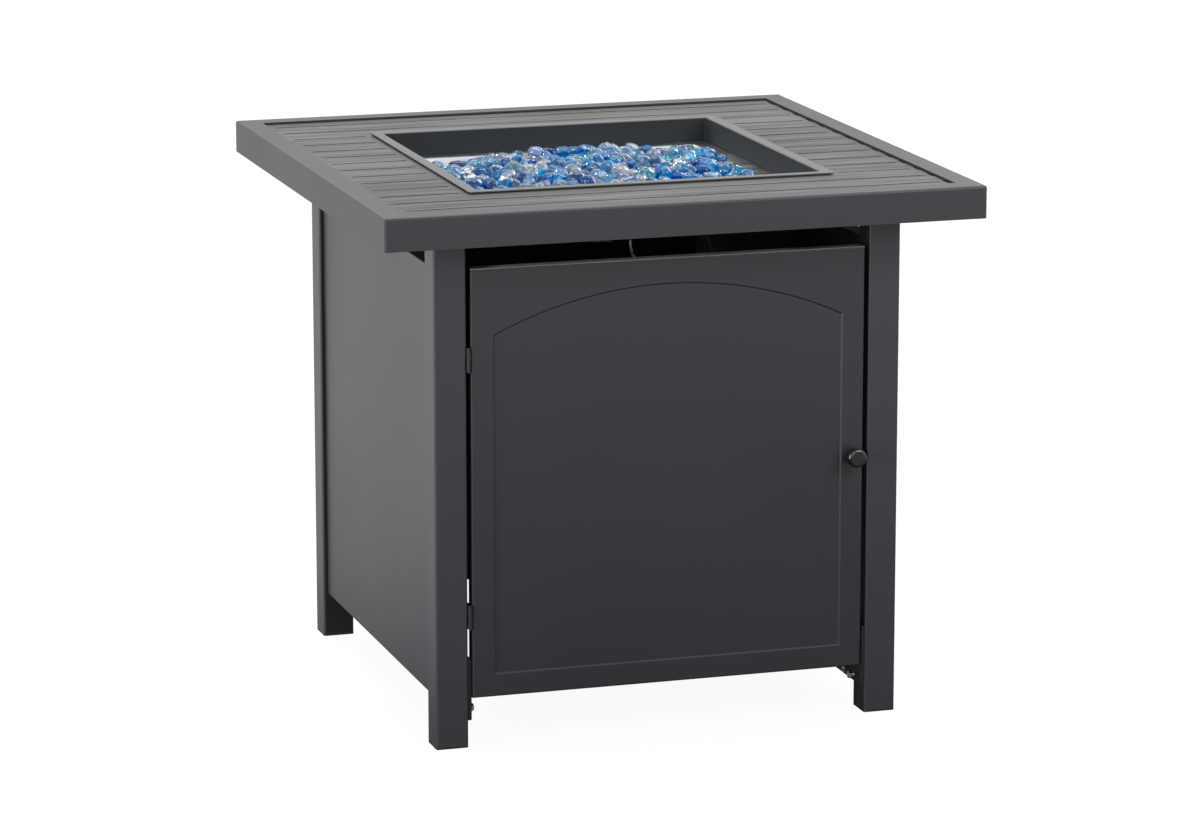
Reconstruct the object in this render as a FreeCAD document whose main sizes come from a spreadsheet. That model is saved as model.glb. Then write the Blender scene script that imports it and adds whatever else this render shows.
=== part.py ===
import FreeCAD, Part
import math
import os
import re

import Sketcher

# Gas fire pit table: a slatted steel top with a fire bowl, four square legs and a cabinet with a door.
# Millimetres. The origin is on the floor under the middle of the top, +Z up, front towards -Y, right +X.

V = FreeCAD.Vector
NEAR = 0.01
UPRIGHT = FreeCAD.Rotation()
ALONG_X = FreeCAD.Rotation(V(0, 1, 0), 90)
AGAINST_X = FreeCAD.Rotation(V(0, 1, 0), -90)
ALONG_Y = FreeCAD.Rotation(V(1, 0, 0), -90)
AGAINST_Y = FreeCAD.Rotation(V(1, 0, 0), 90)
UPSIDE_DOWN = FreeCAD.Rotation(V(1, 0, 0), 180)

# Driving dimensions: name, size, what it is.
SIZES = [
    ("top_width", 711.2, "tabletop along X"),
    ("top_depth", 711.2, "tabletop along Y"),
    ("top_height", 635, "top of the border over the floor"),
    ("rim_height", 38, "depth of the tabletop's edge"),
    ("rim_sheet", 1.5, "sheet of the rim"),
    ("rim_bend", 3, "outer bend along the rim's top"),
    ("rim_corner", 3, "radius of the rim's four corners"),
    ("rim_lip", 12, "turned-in lip under the rim"),
    ("border_width", 28, "flat border round the slats"),
    ("ledge_width", 12, "ledge that carries the slat panel"),
    ("panel_drop", 2.7, "slats below the border"),
    ("panel_sheet", 1.2, "sheet of the slat panel"),
    ("panel_edge", 10, "turned-down edge of the slat panel"),
    ("panel_gap", 1.2, "slat panel to rim, each side"),
    ("groove_pitch", 46.2, "slat to slat"),
    ("groove_width", 4, "groove at the surface"),
    ("groove_depth", 1, "depth of a groove"),
    ("groove_slope", 25, "slope of a groove's sides in degrees"),
    ("slat_least", 20, "least width of the first and last slats"),
    ("groove_end", 8, "closed end of a groove from the panel's edge"),
    ("notch_length", 20, "notch at a groove's end"),
    ("notch_depth", 2, "how far a notch cuts in"),
    ("notch_height", 4, "how far a notch cuts down"),
    ("seat_rise", 1.5, "raised seat under the bowl's flange"),
    ("seat_width", 6, "width of that seat"),
    ("apron_width", 19, "flat ring round the opening, without grooves"),
    ("collar_depth", 8, "turned-down edge of the panel's opening"),
    ("bowl_opening", 413, "fire bowl inside its walls"),
    ("bowl_flange", 13.5, "flange of the bowl"),
    ("bowl_sheet", 1.2, "sheet of the bowl"),
    ("bowl_depth", 30, "flange top to the ledge"),
    ("bowl_ledge", 20, "ledge inside the bowl"),
    ("bowl_corner", 3, "inside corners of the bowl"),
    ("bowl_bend", 2, "bend from flange to wall"),
    ("bowl_gap", 1.5, "bowl wall to the panel's opening"),
    ("pan_sheet", 1, "sheet of the burner pan"),
    ("pan_depth", 44, "depth of the burner pan"),
    ("pan_gap", 1, "pan to bowl, each side"),
    ("pan_corner", 7, "upright corners of the pan"),
    ("pan_taper", 5, "slope of the pan's walls in degrees"),
    ("burner_radius", 120, "burner ring, to the middle of its pipe"),
    ("burner_pipe", 8, "radius of the burner pipe"),
    ("burner_lift", 10, "pan floor to the burner pipe"),
    ("burner_hub", 14, "radius of the burner's hub"),
    ("port_radius", 1.3, "burner port"),
    ("port_count", 24, "number of ports"),
    ("riser_radius", 10.5, "gas riser"),
    ("riser_wall", 3, "wall of the gas riser"),
    ("riser_nut_size", 30, "across the flats of the riser's nut"),
    ("nut_height", 5, "height of the thin nuts"),
    ("elbow_radius", 13.5, "elbow under the burner"),
    ("elbow_arm", 16.5, "middle of the elbow to the air mixer"),
    ("elbow_drop", 24, "pan floor to the middle of the elbow"),
    ("mixer_length", 42, "air mixer"),
    ("mixer_radius", 12, "air mixer"),
    ("mixer_bore", 8, "bore of the air mixer"),
    ("mixer_waist", 10, "waist of the air mixer"),
    ("mixer_end", 12, "thick ends of the air mixer"),
    ("window_width", 7, "air windows of the mixer"),
    ("orifice_size", 18, "across the flats of the orifice fitting"),
    ("orifice_length", 10, "orifice fitting"),
    ("tube_seat", 7, "gas tube inside its fittings"),
    ("tube_radius", 4, "gas tube"),
    ("tube_run", 34, "straight ends of the gas tube"),
    ("tube_bend", 14, "bends of the gas tube"),
    ("lead_radius", 1.6, "leads"),
    ("probe_radius", 3.2, "electrode and thermocouple"),
    ("probe_spacing", 13, "electrode to thermocouple"),
    ("probe_right", 33, "electrode right of the burner's middle"),
    ("probe_front", 30, "electrode in front of the burner's middle"),
    ("probe_drop", 8, "electrode below the pan floor"),
    ("probe_sleeve", 20, "sleeve of the electrode"),
    ("probe_length", 34, "electrode with its tip"),
    ("electrode_tip", 1, "radius of the electrode's tip"),
    ("thermocouple_tip", 2, "radius of the thermocouple's tip"),
    ("glass_half", 177, "half width of the glass bed"),
    ("glass_cells", 19, "beads along one side of the bed"),
    ("glass_edge", 35, "depth of the bed at its corners"),
    ("glass_crown", 13, "rise of the heap along each axis"),
    ("glass_bump", 7, "height of a bead over the heap"),
    ("glass_gap", 0.4, "glass round the burner"),
    ("leg_size", 38.1, "square leg tube"),
    ("leg_wall", 1.5, "wall of the leg tube"),
    ("leg_corner", 3, "corner radius of the leg tube"),
    ("leg_inset", 76, "rim side to the leg's outer face"),
    ("foot_rim", 2, "visible thickness of a foot cap"),
    ("foot_plug", 18, "foot cap inside the leg"),
    ("plug_height", 25, "threaded plug in a leg's top"),
    ("slide_gap", 0.15, "gap of a piece that slides into another"),
    ("bearer_width", 30, "channel of a bearer"),
    ("bearer_height", 20, "height of a bearer"),
    ("bearer_sheet", 1.5, "sheet of a bearer"),
    ("bearer_lip", 12, "lip of a bearer"),
    ("bearer_gap", 1.6, "bearer end to the rim's fold"),
    ("rail_width", 20, "upper leg of the bottom rails' angle"),
    ("rail_height", 25, "upright leg of that angle"),
    ("rail_metal", 1.5, "sheet of the bottom rails"),
    ("bracket_thick", 4.5, "depth of a leg bracket"),
    ("bracket_sheet", 1.5, "sheet of a leg bracket"),
    ("bracket_bend", 2, "outer bend of a leg bracket"),
    ("bracket_bottom", 32, "underside of a leg bracket"),
    ("bracket_height", 73, "height of a leg bracket"),
    ("bracket_reach", 24, "bracket past the leg, along the rail"),
    ("bracket_setback", 1, "bracket behind the leg's front face"),
    ("bolt_radius", 2.5, "shank of the bolts"),
    ("bolt_head", 8, "across the flats of a bolt head"),
    ("bolt_head_height", 3.5, "height of a bolt head"),
    ("bolt_length", 12, "shank of the short bolts"),
    ("bolt_height", 41, "bolts in the rails over the floor"),
    ("bolt_rise", 51, "lower to upper bolt of a bracket"),
    ("bolt_shift", 4, "bracket bolts from the middle of the leg, inwards"),
    ("stud_stand", 4, "standing bolt's head off its bracket"),
    ("bore_gap", 0.1, "screw or bolt in its hole, on the radius"),
    ("panel_metal", 1, "sheet of the cabinet panels"),
    ("panel_bend", 1.5, "outer bend of the cabinet panels"),
    ("panel_flange", 20, "turned-in flange of the cabinet panels"),
    ("panel_recess", 5.2, "cabinet panel behind the leg's face"),
    ("panel_bottom", 55, "underside of the cabinet panels"),
    ("panel_headroom", 77, "top of the border to the cabinet panels"),
    ("panel_play", 0.3, "cabinet panel to the leg, each side"),
    ("screw_radius", 2, "shank of the small screws"),
    ("screw_head", 4.2, "radius of a small screw's head"),
    ("screw_head_height", 2.2, "height of a small screw's head"),
    ("screw_length", 6, "shank of the small screws"),
    ("screw_inset", 75, "panel screws from the panel's ends"),
    ("door_metal", 1, "sheet of the door"),
    ("door_thick", 15, "depth of the door"),
    ("door_bend", 2, "outer bend of the door"),
    ("door_lip", 10, "return lip at the door's back"),
    ("door_bottom", 58, "underside of the door"),
    ("door_headroom", 77, "top of the border to the door"),
    ("hinge_gap", 5.2, "left leg to the door"),
    ("latch_gap", 5.6, "door to the right leg"),
    ("arch_side", 26, "door's side edges to the pressed panel"),
    ("arch_bottom", 26, "door's underside to the pressed panel"),
    ("arch_shoulder", 77, "door's top edge to the foot of the arch"),
    ("arch_rise", 48, "rise of the arch"),
    ("arch_depth", 1.8, "depth of the pressed panel"),
    ("arch_slope", 45, "slope of the pressed panel's sides in degrees"),
    ("knob_inset", 13.7, "door's right edge to the knob"),
    ("knob_radius", 11.3, "door knob"),
    ("knob_neck", 5, "neck of the door knob"),
    ("knob_reach", 23, "door knob in front of the door"),
    ("knob_thick", 13, "door knob without its neck"),
    ("knob_round", 3.5, "rounding of the door knob's front edge"),
    ("knob_rise", 4.6, "door knob over the middle of the door"),
    ("leaf_height", 27, "height of a hinge"),
    ("leaf_depth", 18, "hinge leaf along the leg"),
    ("leaf_sheet", 1.2, "sheet of a hinge leaf"),
    ("knuckle_radius", 2.2, "hinge knuckle"),
    ("pin_radius", 1.2, "hinge pin"),
    ("pin_gap", 0.05, "hinge pin in its knuckle, on the radius"),
    ("knuckle_gap", 0.3, "between hinge knuckles"),
    ("hinge_low", 95.5, "door's underside to the middle of the lower hinge"),
    ("hinge_high", 104.5, "door's top edge to the middle of the upper hinge"),
    ("rivet_radius", 1.5, "hinge rivet"),
    ("rivet_head", 2.6, "radius of a hinge rivet's head"),
    ("rivet_head_height", 0.8, "height of a hinge rivet's head"),
    ("catch_width", 14, "magnetic catch off the leg"),
    ("catch_depth", 15, "magnetic catch along the leg"),
    ("catch_height", 44, "height of the magnetic catch"),
    ("catch_drop", 138, "door's top edge to the middle of the magnetic catch"),
    ("catch_gap", 0.3, "closed door to the catch"),
    ("catch_ear", 2.5, "thickness of the catch's ears"),
    ("catch_ear_height", 9, "height of one ear"),
    ("box_middle", 100, "middle of the control box along Y"),
    ("box_width", 116, "control box along Y"),
    ("box_depth", 95, "control box along X"),
    ("box_drop", 201, "top of the border to the underside of the control box"),
    ("box_height", 112, "height of the control box"),
    ("box_metal", 1, "sheet of the control box"),
    ("box_lip", 9, "return lip of the control box"),
    ("pipe_gap", 0.5, "pipe in its hole in the control box, on the radius"),
    ("plate_width", 124, "control plate along Y"),
    ("plate_height", 116, "control plate along Z"),
    ("plate_metal", 1.5, "sheet of the control plate"),
    ("plate_corner", 6, "corners of the control plate"),
    ("valve_shift", 25, "valve from the middle of the box"),
    ("igniter_shift", 28, "igniter from the middle of the box"),
    ("valve_radius", 15, "valve body"),
    ("valve_length", 54.8, "valve body"),
    ("valve_port", 44.8, "valve ports from the panel"),
    ("port_boss", 7, "radius of a valve port"),
    ("port_reach", 24, "valve port from the valve's axis"),
    ("stem_radius", 3, "valve stem"),
    ("stem_flat", 2, "flat of the stem from its axis"),
    ("stem_hole", 8, "hole for the stem in panel and plate"),
    ("stem_back", 18, "stem inside the valve"),
    ("stem_room", 6, "bore behind the stem"),
    ("stem_grip", 14, "stem inside the gas knob"),
    ("collar_radius", 6, "collar pushed in by the stem"),
    ("collar_thick", 3, "collar pushed in by the stem"),
    ("collar_back", 5, "collar behind the panel"),
    ("valve_bore", 6.5, "bore of the valve for the collar"),
    ("valve_bore_depth", 16, "depth of that bore"),
    ("dial_radius", 22, "gas knob"),
    ("dial_height", 24, "gas knob"),
    ("dial_stand", 4.5, "gas knob off the control plate"),
    ("dial_flutes", 16, "flutes of the gas knob"),
    ("dial_skirt", 4, "height of the gas knob's skirt"),
    ("dial_grip", 17, "radius of the gas knob's grip"),
    ("dial_bore", 15, "depth of the stem's hole in the gas knob"),
    ("flute_radius", 1.3, "flutes of the gas knob"),
    ("pointer_depth", 0.7, "pressed pointer of the gas knob"),
    ("igniter_radius", 11, "igniter barrel"),
    ("igniter_collar", 14.5, "igniter collar"),
    ("igniter_flange", 2.5, "thickness of the igniter's collar"),
    ("igniter_length", 46, "igniter behind the plate's face"),
    ("igniter_nut_size", 28, "across the flats of the igniter's nut"),
    ("terminal_length", 6, "terminal behind the igniter"),
    ("terminal_radius", 2.5, "terminal behind the igniter"),
    ("button_radius", 9, "igniter button"),
    ("button_gap", 0.3, "button in its barrel, on the radius"),
    ("button_length", 15, "igniter button"),
    ("button_stand", 4.6, "button in front of its collar"),
    ("button_well", 16, "depth of the button's bore"),
    ("inlet_radius", 6, "hose inlet pipe"),
    ("inlet_length", 63, "hose inlet under the valve"),
    ("inlet_hex", 19, "across the flats of the inlet's hexagon"),
    ("inlet_thread", 7.9, "male thread of the inlet"),
    ("inlet_thread_length", 14, "male thread of the inlet"),
    ("inlet_bore", 4, "bore of the inlet's mouth"),
    ("inlet_bore_depth", 8, "depth of that bore"),
    ("inlet_hex_height", 9, "height of the inlet's hexagon"),
    ("inlet_hex_drop", 3, "hexagon below the control box"),
    ("lead_hole", 4, "hole for a lead in the control box"),
    ("lead_bore", 1.9, "bore of a lead's grommet"),
    ("grommet_lip", 1.5, "lips of a grommet"),
    ("lead_rise", 42, "leads over the underside of the control box"),
    ("lead_one", 74, "ignition lead at the box along Y"),
    ("lead_two", 92, "thermocouple lead at the box along Y"),
]
NAMES = {name for name, size, note in SIZES}

doc = FreeCAD.newDocument("FirePitTable")
sheet = doc.addObject("Spreadsheet::Sheet", "Sizes")
for row, (name, size, note) in enumerate(SIZES, start=1):
    sheet.set(f"A{row}", name)
    sheet.set(f"B{row}", str(size))
    sheet.setAlias(f"B{row}", name)
    sheet.set(f"C{row}", note)
doc.recompute()
nodes = []

# Places that several pieces share, as formulas of the sizes.
OUTER_X = "(top_width / 2 - leg_inset)"
OUTER_Y = "(top_depth / 2 - leg_inset)"
INNER_X = "(top_width / 2 - leg_inset - leg_size)"
INNER_Y = "(top_depth / 2 - leg_inset - leg_size)"
LEG_X = "(top_width / 2 - leg_inset - leg_size / 2)"
LEG_Y = "(top_depth / 2 - leg_inset - leg_size / 2)"
RIM_BOTTOM = "(top_height - rim_height)"
BORDER_X = "(top_width / 2 - border_width)"
BORDER_Y = "(top_depth / 2 - border_width)"
PANEL_TOP = "(top_height - panel_drop)"
LEDGE_TOP = f"({PANEL_TOP} - panel_edge)"
LEDGE_BOTTOM = f"({LEDGE_TOP} - rim_sheet)"
LEG_TOP = f"({LEDGE_BOTTOM} - bearer_height)"
BOWL_TOP = f"({PANEL_TOP} + seat_rise + bowl_sheet)"
PAN_TOP = f"({BOWL_TOP} - bowl_depth + pan_sheet)"
PAN_FLOOR = f"({PAN_TOP} - pan_depth + pan_sheet)"
BURNER_LEVEL = f"({PAN_FLOOR} + burner_lift + burner_pipe)"
ELBOW_LEVEL = f"({PAN_FLOOR} - elbow_drop)"
PANEL_FACE = "(top_width / 2 - leg_inset - panel_recess)"
PANEL_FACE_Y = "(top_depth / 2 - leg_inset - panel_recess)"
HINGE_X = f"(-{INNER_X} + hinge_gap / 2)"
HINGE_Y = f"(-{OUTER_Y})"
DOOR_LEFT = f"(-{INNER_X} + hinge_gap)"
DOOR_UP = "(top_height - door_headroom)"
DOOR_HEIGHT = f"({DOOR_UP} - door_bottom)"
HINGE_LOW = "(door_bottom + hinge_low)"
HINGE_HIGH = f"({DOOR_UP} - hinge_high)"
CATCH_MIDDLE = f"({DOOR_UP} - catch_drop)"
PANEL_UP = "(top_height - panel_headroom)"
BOX_BOTTOM = "(top_height - box_drop)"
BOX_UP = f"({BOX_BOTTOM} + box_height)"
CONTROL_Z = f"({BOX_BOTTOM} + box_height / 2)"
LEAD_LEVEL = f"({BOX_BOTTOM} + lead_rise)"
DOOR_WIDTH = f"(2 * {INNER_X} - hinge_gap - latch_gap)"
VALVE_Y = "(box_middle + valve_shift)"
IGNITER_Y = "(box_middle - igniter_shift)"
PLATE_FACE = f"({PANEL_FACE} + plate_metal)"
LIP_SCREW = "(bearer_width / 2 + bearer_lip / 2)"
LEDGE_SCREW = f"({BORDER_X} - ledge_width / 2 - 1)"


def formula(text):
    """Write the names of sizes in a formula as references to the sheet."""
    return re.sub(r"[a-z]\w*", lambda word: "Sizes." + word[0] if word[0] in NAMES else word[0], str(text))


def value(text):
    """The number that a formula gives."""
    return float(sheet.evalExpression(formula(text)))


def place(thing, x="0", y="0", z="0", turn=UPRIGHT):
    """Put an object at a place given by three formulas."""
    thing.Placement = FreeCAD.Placement(V(0, 0, 0), turn)
    for axis, text in (("x", x), ("y", y), ("z", z)):
        thing.setExpression("Placement.Base." + axis, formula(text))
    return thing


def keep(thing, label):
    """Name a finished sub-part and list it for export."""
    thing.Label = label
    nodes.append(thing)
    return thing


# Sketches

def new_body(label):
    body = doc.addObject("PartDesign::Body", label)
    body.Label = label
    return body


def sketch(body, plane="XY", offset="0"):
    """An empty sketch on one of the body's own planes, moved along its normal."""
    made = body.newObject("Sketcher::SketchObject", body.Name + "_sketch")
    support = next(item for item in body.Origin.OriginFeatures if item.Role == plane + "_Plane")
    made.AttachmentSupport = [(support, "")]
    made.MapMode = "FlatFace"
    made.setExpression("AttachmentOffset.Base.z", formula(offset))
    return made


def pin_point(made, geometry, point, x, y):
    """Hold one point of a sketch at two formulas from the sketch's origin."""
    for kind, text in (("DistanceX", x), ("DistanceY", y)):
        index = made.addConstraint(Sketcher.Constraint(kind, -1, 1, geometry, point, value(text)))
        made.setExpression(f"Constraints[{index}]", formula(text))


def hold(made, kind, geometry, text):
    index = made.addConstraint(Sketcher.Constraint(kind, geometry, value(text)))
    made.setExpression(f"Constraints[{index}]", formula(text))


def outline(made, corners):
    """A closed outline of straight lines through corners given as pairs of formulas."""
    first = made.GeometryCount
    count = len(corners)
    points = [V(value(x), value(y), 0) for x, y in corners]
    for i in range(count):
        made.addGeometry(Part.LineSegment(points[i], points[(i + 1) % count]), False)
    for i, (x, y) in enumerate(corners):
        before = first + (i - 1) % count
        made.addConstraint(Sketcher.Constraint("Coincident", before, 2, first + i, 1))
        pin_point(made, first + i, 1, x, y)
    return made


def rectangle(made, low_x, low_y, high_x, high_y):
    return outline(made, [(low_x, low_y), (high_x, low_y), (high_x, high_y), (low_x, high_y)])


def centred(made, half_x, half_y):
    """A rectangle about the sketch's origin."""
    return rectangle(made, f"-({half_x})", f"-({half_y})", half_x, half_y)


def rounded(made, half_x, half_y, radius):
    """A rectangle about the sketch's origin with rounded corners."""
    first = made.GeometryCount
    flat_x, flat_y = f"({half_x} - ({radius}))", f"({half_y} - ({radius}))"
    lines = [
        ((half_x, f"-{flat_y}"), (half_x, flat_y)),
        ((flat_x, half_y), (f"-{flat_x}", half_y)),
        ((f"-({half_x})", flat_y), (f"-({half_x})", f"-{flat_y}")),
        ((f"-{flat_x}", f"-({half_y})"), (flat_x, f"-({half_y})")),
    ]
    centres = [(1, 1), (-1, 1), (-1, -1), (1, -1)]
    for i, (begin, end) in enumerate(lines):
        points = [V(value(x), value(y), 0) for x, y in (begin, end)]
        made.addGeometry(Part.LineSegment(*points), False)
        middle = V(centres[i][0] * value(flat_x), centres[i][1] * value(flat_y), 0)
        circle_of_arc = Part.Circle(middle, V(0, 0, 1), value(radius))
        made.addGeometry(Part.ArcOfCircle(circle_of_arc, math.pi / 2 * i, math.pi / 2 * (i + 1)), False)
    for i, (begin, end) in enumerate(lines):
        line, arc, next_line = first + 2 * i, first + 2 * i + 1, first + (2 * i + 2) % 8
        pin_point(made, line, 1, *begin)
        pin_point(made, line, 2, *end)
        made.addConstraint(Sketcher.Constraint("Coincident", line, 2, arc, 1))
        made.addConstraint(Sketcher.Constraint("Coincident", arc, 2, next_line, 1))
        across = f"{centres[i][0]} * {flat_x}"
        index = made.addConstraint(Sketcher.Constraint("DistanceX", -1, 1, arc, 3, value(across)))
        made.setExpression(f"Constraints[{index}]", formula(across))
    return made


def circle(made, x, y, radius):
    index = made.addGeometry(Part.Circle(V(value(x), value(y), 0), V(0, 0, 1), value(radius)), False)
    pin_point(made, index, 3, x, y)
    hold(made, "Radius", index, radius)
    return made


def hexagon(made, across):
    """A regular hexagon about the sketch's origin, by its width across the flats."""
    corners = []
    for i in range(6):
        turn = 60 * i
        corners.append((f"{across} / sqrt(3) * cos({turn} deg)", f"{across} / sqrt(3) * sin({turn} deg)"))
    return outline(made, corners)


# Features

def grow(body, kind, profile, length, reverse, taper):
    made = body.newObject("PartDesign::" + kind, f"{body.Name}_{kind.lower()}")
    made.Profile = profile
    made.Reversed = reverse
    if length is None:
        made.Type = "ThroughAll"
    else:
        made.setExpression("Length", formula(length))
    if taper is not None:
        made.setExpression("TaperAngle", formula(taper))
    profile.Visibility = False
    return made


def pad(body, profile, length, reverse=False, taper=None):
    """Raise a sketch along its normal, or against it when reversed."""
    made = grow(body, "Pad", profile, length, reverse, taper)
    doc.recompute()
    return made


def pocket(body, profile, length=None, reverse=False, taper=None):
    """Cut a sketch against its normal, or along it when reversed, and see that something was cut."""
    before = body.Shape.Volume
    made = grow(body, "Pocket", profile, length, reverse, taper)
    doc.recompute()
    if not body.Shape.Volume < before - 1e-6:
        raise ValueError(f"{body.Label}: {made.Name} cuts nothing")
    return made


def revolve(body, profile):
    """Turn a sketch a full turn round its vertical axis."""
    made = body.newObject("PartDesign::Revolution", body.Name + "_turned")
    made.Profile = profile
    made.ReferenceAxis = (profile, ["V_Axis"])
    made.Angle = 360
    doc.recompute()
    return made


def edges_where(feature, chosen):
    return [f"Edge{i}" for i, edge in enumerate(feature.Shape.Edges, start=1) if chosen(edge)]


def at_level(edge, axis, level):
    """True when the whole edge lies at one level of an axis."""
    box = edge.BoundBox
    low, high = getattr(box, axis + "Min"), getattr(box, axis + "Max")
    return abs(low - level) < NEAR and abs(high - level) < NEAR


def is_along(edge, axis):
    """True for a straight edge along an axis."""
    box = edge.BoundBox
    others = [name for name in "XYZ" if name != axis]
    flat = all(getattr(box, name + "Length") < NEAR for name in others)
    return flat and getattr(box, axis + "Length") > NEAR


def round_edges(body, radius, chosen):
    base = body.Tip
    made = body.newObject("PartDesign::Fillet", body.Name + "_fillet")
    made.Base = (base, edges_where(base, chosen))
    made.setExpression("Radius", formula(radius))
    doc.recompute()
    return made


def hollow(body, sheet_name, opened):
    """Shell the body inwards to a sheet, open at the faces that are chosen."""
    base = body.Tip
    made = body.newObject("PartDesign::Thickness", body.Name + "_shell")
    faces = [f"Face{i}" for i, face in enumerate(base.Shape.Faces, start=1) if opened(face)]
    made.Base = (base, faces)
    made.setExpression("Value", formula(sheet_name))
    made.Reversed = True
    made.Mode = 0
    made.Join = 0
    doc.recompute()
    return made


def repeat(body, features, profile, step, count):
    """Repeat features along the vertical axis of a sketch."""
    made = body.newObject("PartDesign::LinearPattern", body.Name + "_row")
    made.Originals = features
    made.Direction = (profile, ["V_Axis"])
    made.setExpression("Length", formula(f"{step} * ({count} - 1)"))
    made.setExpression("Occurrences", formula(count))
    body.Tip = made
    doc.recompute()
    return made


def repeat_round(body, features, profile, count, axis="N_Axis"):
    """Repeat features round an axis of a sketch."""
    made = body.newObject("PartDesign::PolarPattern", body.Name + "_turns")
    made.Originals = features
    made.Axis = (profile, [axis])
    made.Angle = 360
    made.setExpression("Occurrences", formula(count))
    body.Tip = made
    doc.recompute()
    return made


def drill(body, plane, offset, spots, radius, length=None, reverse=False):
    """Round holes at spots of a plane, cut over a length against the plane's normal."""
    made = sketch(body, plane, offset)
    for x, y in spots:
        circle(made, x, y, radius)
    return pocket(body, made, length, reverse)


def turned(label, corners):
    """A body of revolution about Z from an outline of (radius, height) pairs."""
    body = new_body(label)
    revolve(body, outline(sketch(body, "XZ"), corners))
    return body


def group(label, base, places):
    """One node of separate equal solids: copies of a base at (x, y, z, turn) places."""
    copies = []
    for x, y, z, turn in places:
        copy = doc.addObject("App::Link", label + "_copy")
        copy.LinkedObject = base
        copy.LinkTransform = False
        copies.append(place(copy, x, y, z, turn))
    made = doc.addObject("Part::Compound", label)
    made.Links = copies
    return keep(made, label)


def sheet_pan(label, low_x, high_x, low_z, high_z, depth, metal, bend):
    """A pressed pan: face at Y = 0, turned-in edges reaching back to a depth along +Y, open behind."""
    body = new_body(label)
    pad(body, rectangle(sketch(body, "XZ"), low_x, low_z, high_x, high_z), depth, reverse=True)
    round_edges(body, bend, lambda edge: at_level(edge, "Y", 0))
    back = value(depth)
    hollow(body, metal, lambda face: face.BoundBox.YMin > back - NEAR)
    return body


def return_lip(body, low_x, high_x, low_z, high_z, depth, metal, lip):
    """A lip turned in all round at the open back of a pressed pan."""
    ring = sketch(body, "XZ", f"{metal} - ({depth})")
    for inset in (f"{metal} / 2", lip):
        low = (f"{low_x} + {inset}", f"{low_z} + {inset}")
        rectangle(ring, *low, f"{high_x} - {inset}", f"{high_z} - {inset}")
    return pad(body, ring, metal, reverse=True)


def bent_tube(label, points, radius, tightest, widest=None):
    """A round tube along straight runs joined by tangent arcs; prints its bend radii."""
    points = [V(*point) for point in points]
    runs = [points[i + 1] - points[i] for i in range(len(points) - 1)]
    edges, radii = [], []
    start = points[0]
    for i in range(1, len(points) - 1):
        shorter = min(runs[i - 1].Length, runs[i].Length)
        before, after = runs[i - 1] / runs[i - 1].Length, runs[i] / runs[i].Length
        turn = before.getAngle(after)
        bend = widest or 0.45 * shorter / math.tan(turn / 2)
        radii.append(round(bend, 1))
        reach = bend * math.tan(turn / 2)
        enter, leave = points[i] - before * reach, points[i] + after * reach
        middle_way = (after - before).normalize()
        centre = points[i] + middle_way * (bend / math.cos(turn / 2))
        top = centre - middle_way * bend
        edges.append(Part.LineSegment(start, enter).toShape())
        edges.append(Part.Arc(enter, top, leave).toShape())
        start = leave
    edges.append(Part.LineSegment(start, points[-1]).toShape())
    path = Part.Wire(edges)
    section = Part.Wire([Part.Circle(points[0], runs[0], radius).toShape()])
    solid = path.makePipeShell([section], True, False)
    wanted = math.pi * radius ** 2 * path.Length
    if abs(solid.Volume / wanted - 1) > 0.01:
        raise ValueError(f"{label}: volume {solid.Volume:.0f}, section times length {wanted:.0f}")
    if min(radii) < tightest:
        raise ValueError(f"{label}: a bend of {min(radii)} is under {tightest}")
    print(label, "length", round(path.Length), "radii", radii)
    made = doc.addObject("Part::Feature", label)
    made.Shape = solid
    return keep(made, label)


# Fasteners, each drawn once with its head upwards and its shank below the origin

def hex_bolt(label, length):
    body = new_body(label)
    pad(body, hexagon(sketch(body), "bolt_head"), "bolt_head_height")
    shank = circle(sketch(body), "0", "0", "bolt_radius")
    pad(body, shank, length, reverse=True)
    return body


def round_screw(label, head, head_height, radius, length):
    corners = [("0", head_height), (f"{head} * 0.7", head_height), (head, f"{head_height} / 2"), (head, "0")]
    corners += [(radius, "0"), (radius, f"-({length})"), ("0", f"-({length})")]
    return turned(label, corners)


# Legs

def leg(label, side, end, more_spots=()):
    """Square tube on its foot cap; side is -1 left or +1 right, end is -1 front or +1 back."""
    body = new_body(label)
    tube = sketch(body)
    rounded(tube, "leg_size / 2", "leg_size / 2", "leg_corner")
    rounded(tube, "(leg_size / 2 - leg_wall)", "(leg_size / 2 - leg_wall)", "(leg_corner - leg_wall)")
    pad(body, tube, f"{LEG_TOP} - foot_rim")
    flange_spot = "(leg_size / 2 - panel_recess - panel_flange / 2)"
    heights = ["(panel_bottom + screw_inset)", f"({PANEL_UP} - screw_inset)"]
    across = [(f"{side} * {flange_spot}", f"{height} - foot_rim") for height in heights]
    drill(body, "XZ", "0", across, "screw_radius + bore_gap", "leg_size", reverse=end > 0)
    levels = ["bolt_height", "(bolt_height + bolt_rise)"][:1 if end > 0 else 2]
    bolts = [(f"{-end} * bolt_shift", f"{level} - foot_rim") for level in levels]
    drill(body, "YZ", "0", bolts, "bolt_radius + bore_gap", "leg_size", reverse=side < 0)
    if end > 0:
        back = [(flange_spot, f"{height} - foot_rim") for height in heights]
        drill(body, "YZ", "0", back, "screw_radius + bore_gap", "leg_size", reverse=side < 0)
    if more_spots:
        radius, spots = more_spots
        drill(body, "YZ", "0", spots, radius, "leg_size", reverse=side < 0)
    keep(body, label)
    return place(body, f"{side} * {LEG_X}", f"{end} * {LEG_Y}", "foot_rim")


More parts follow.
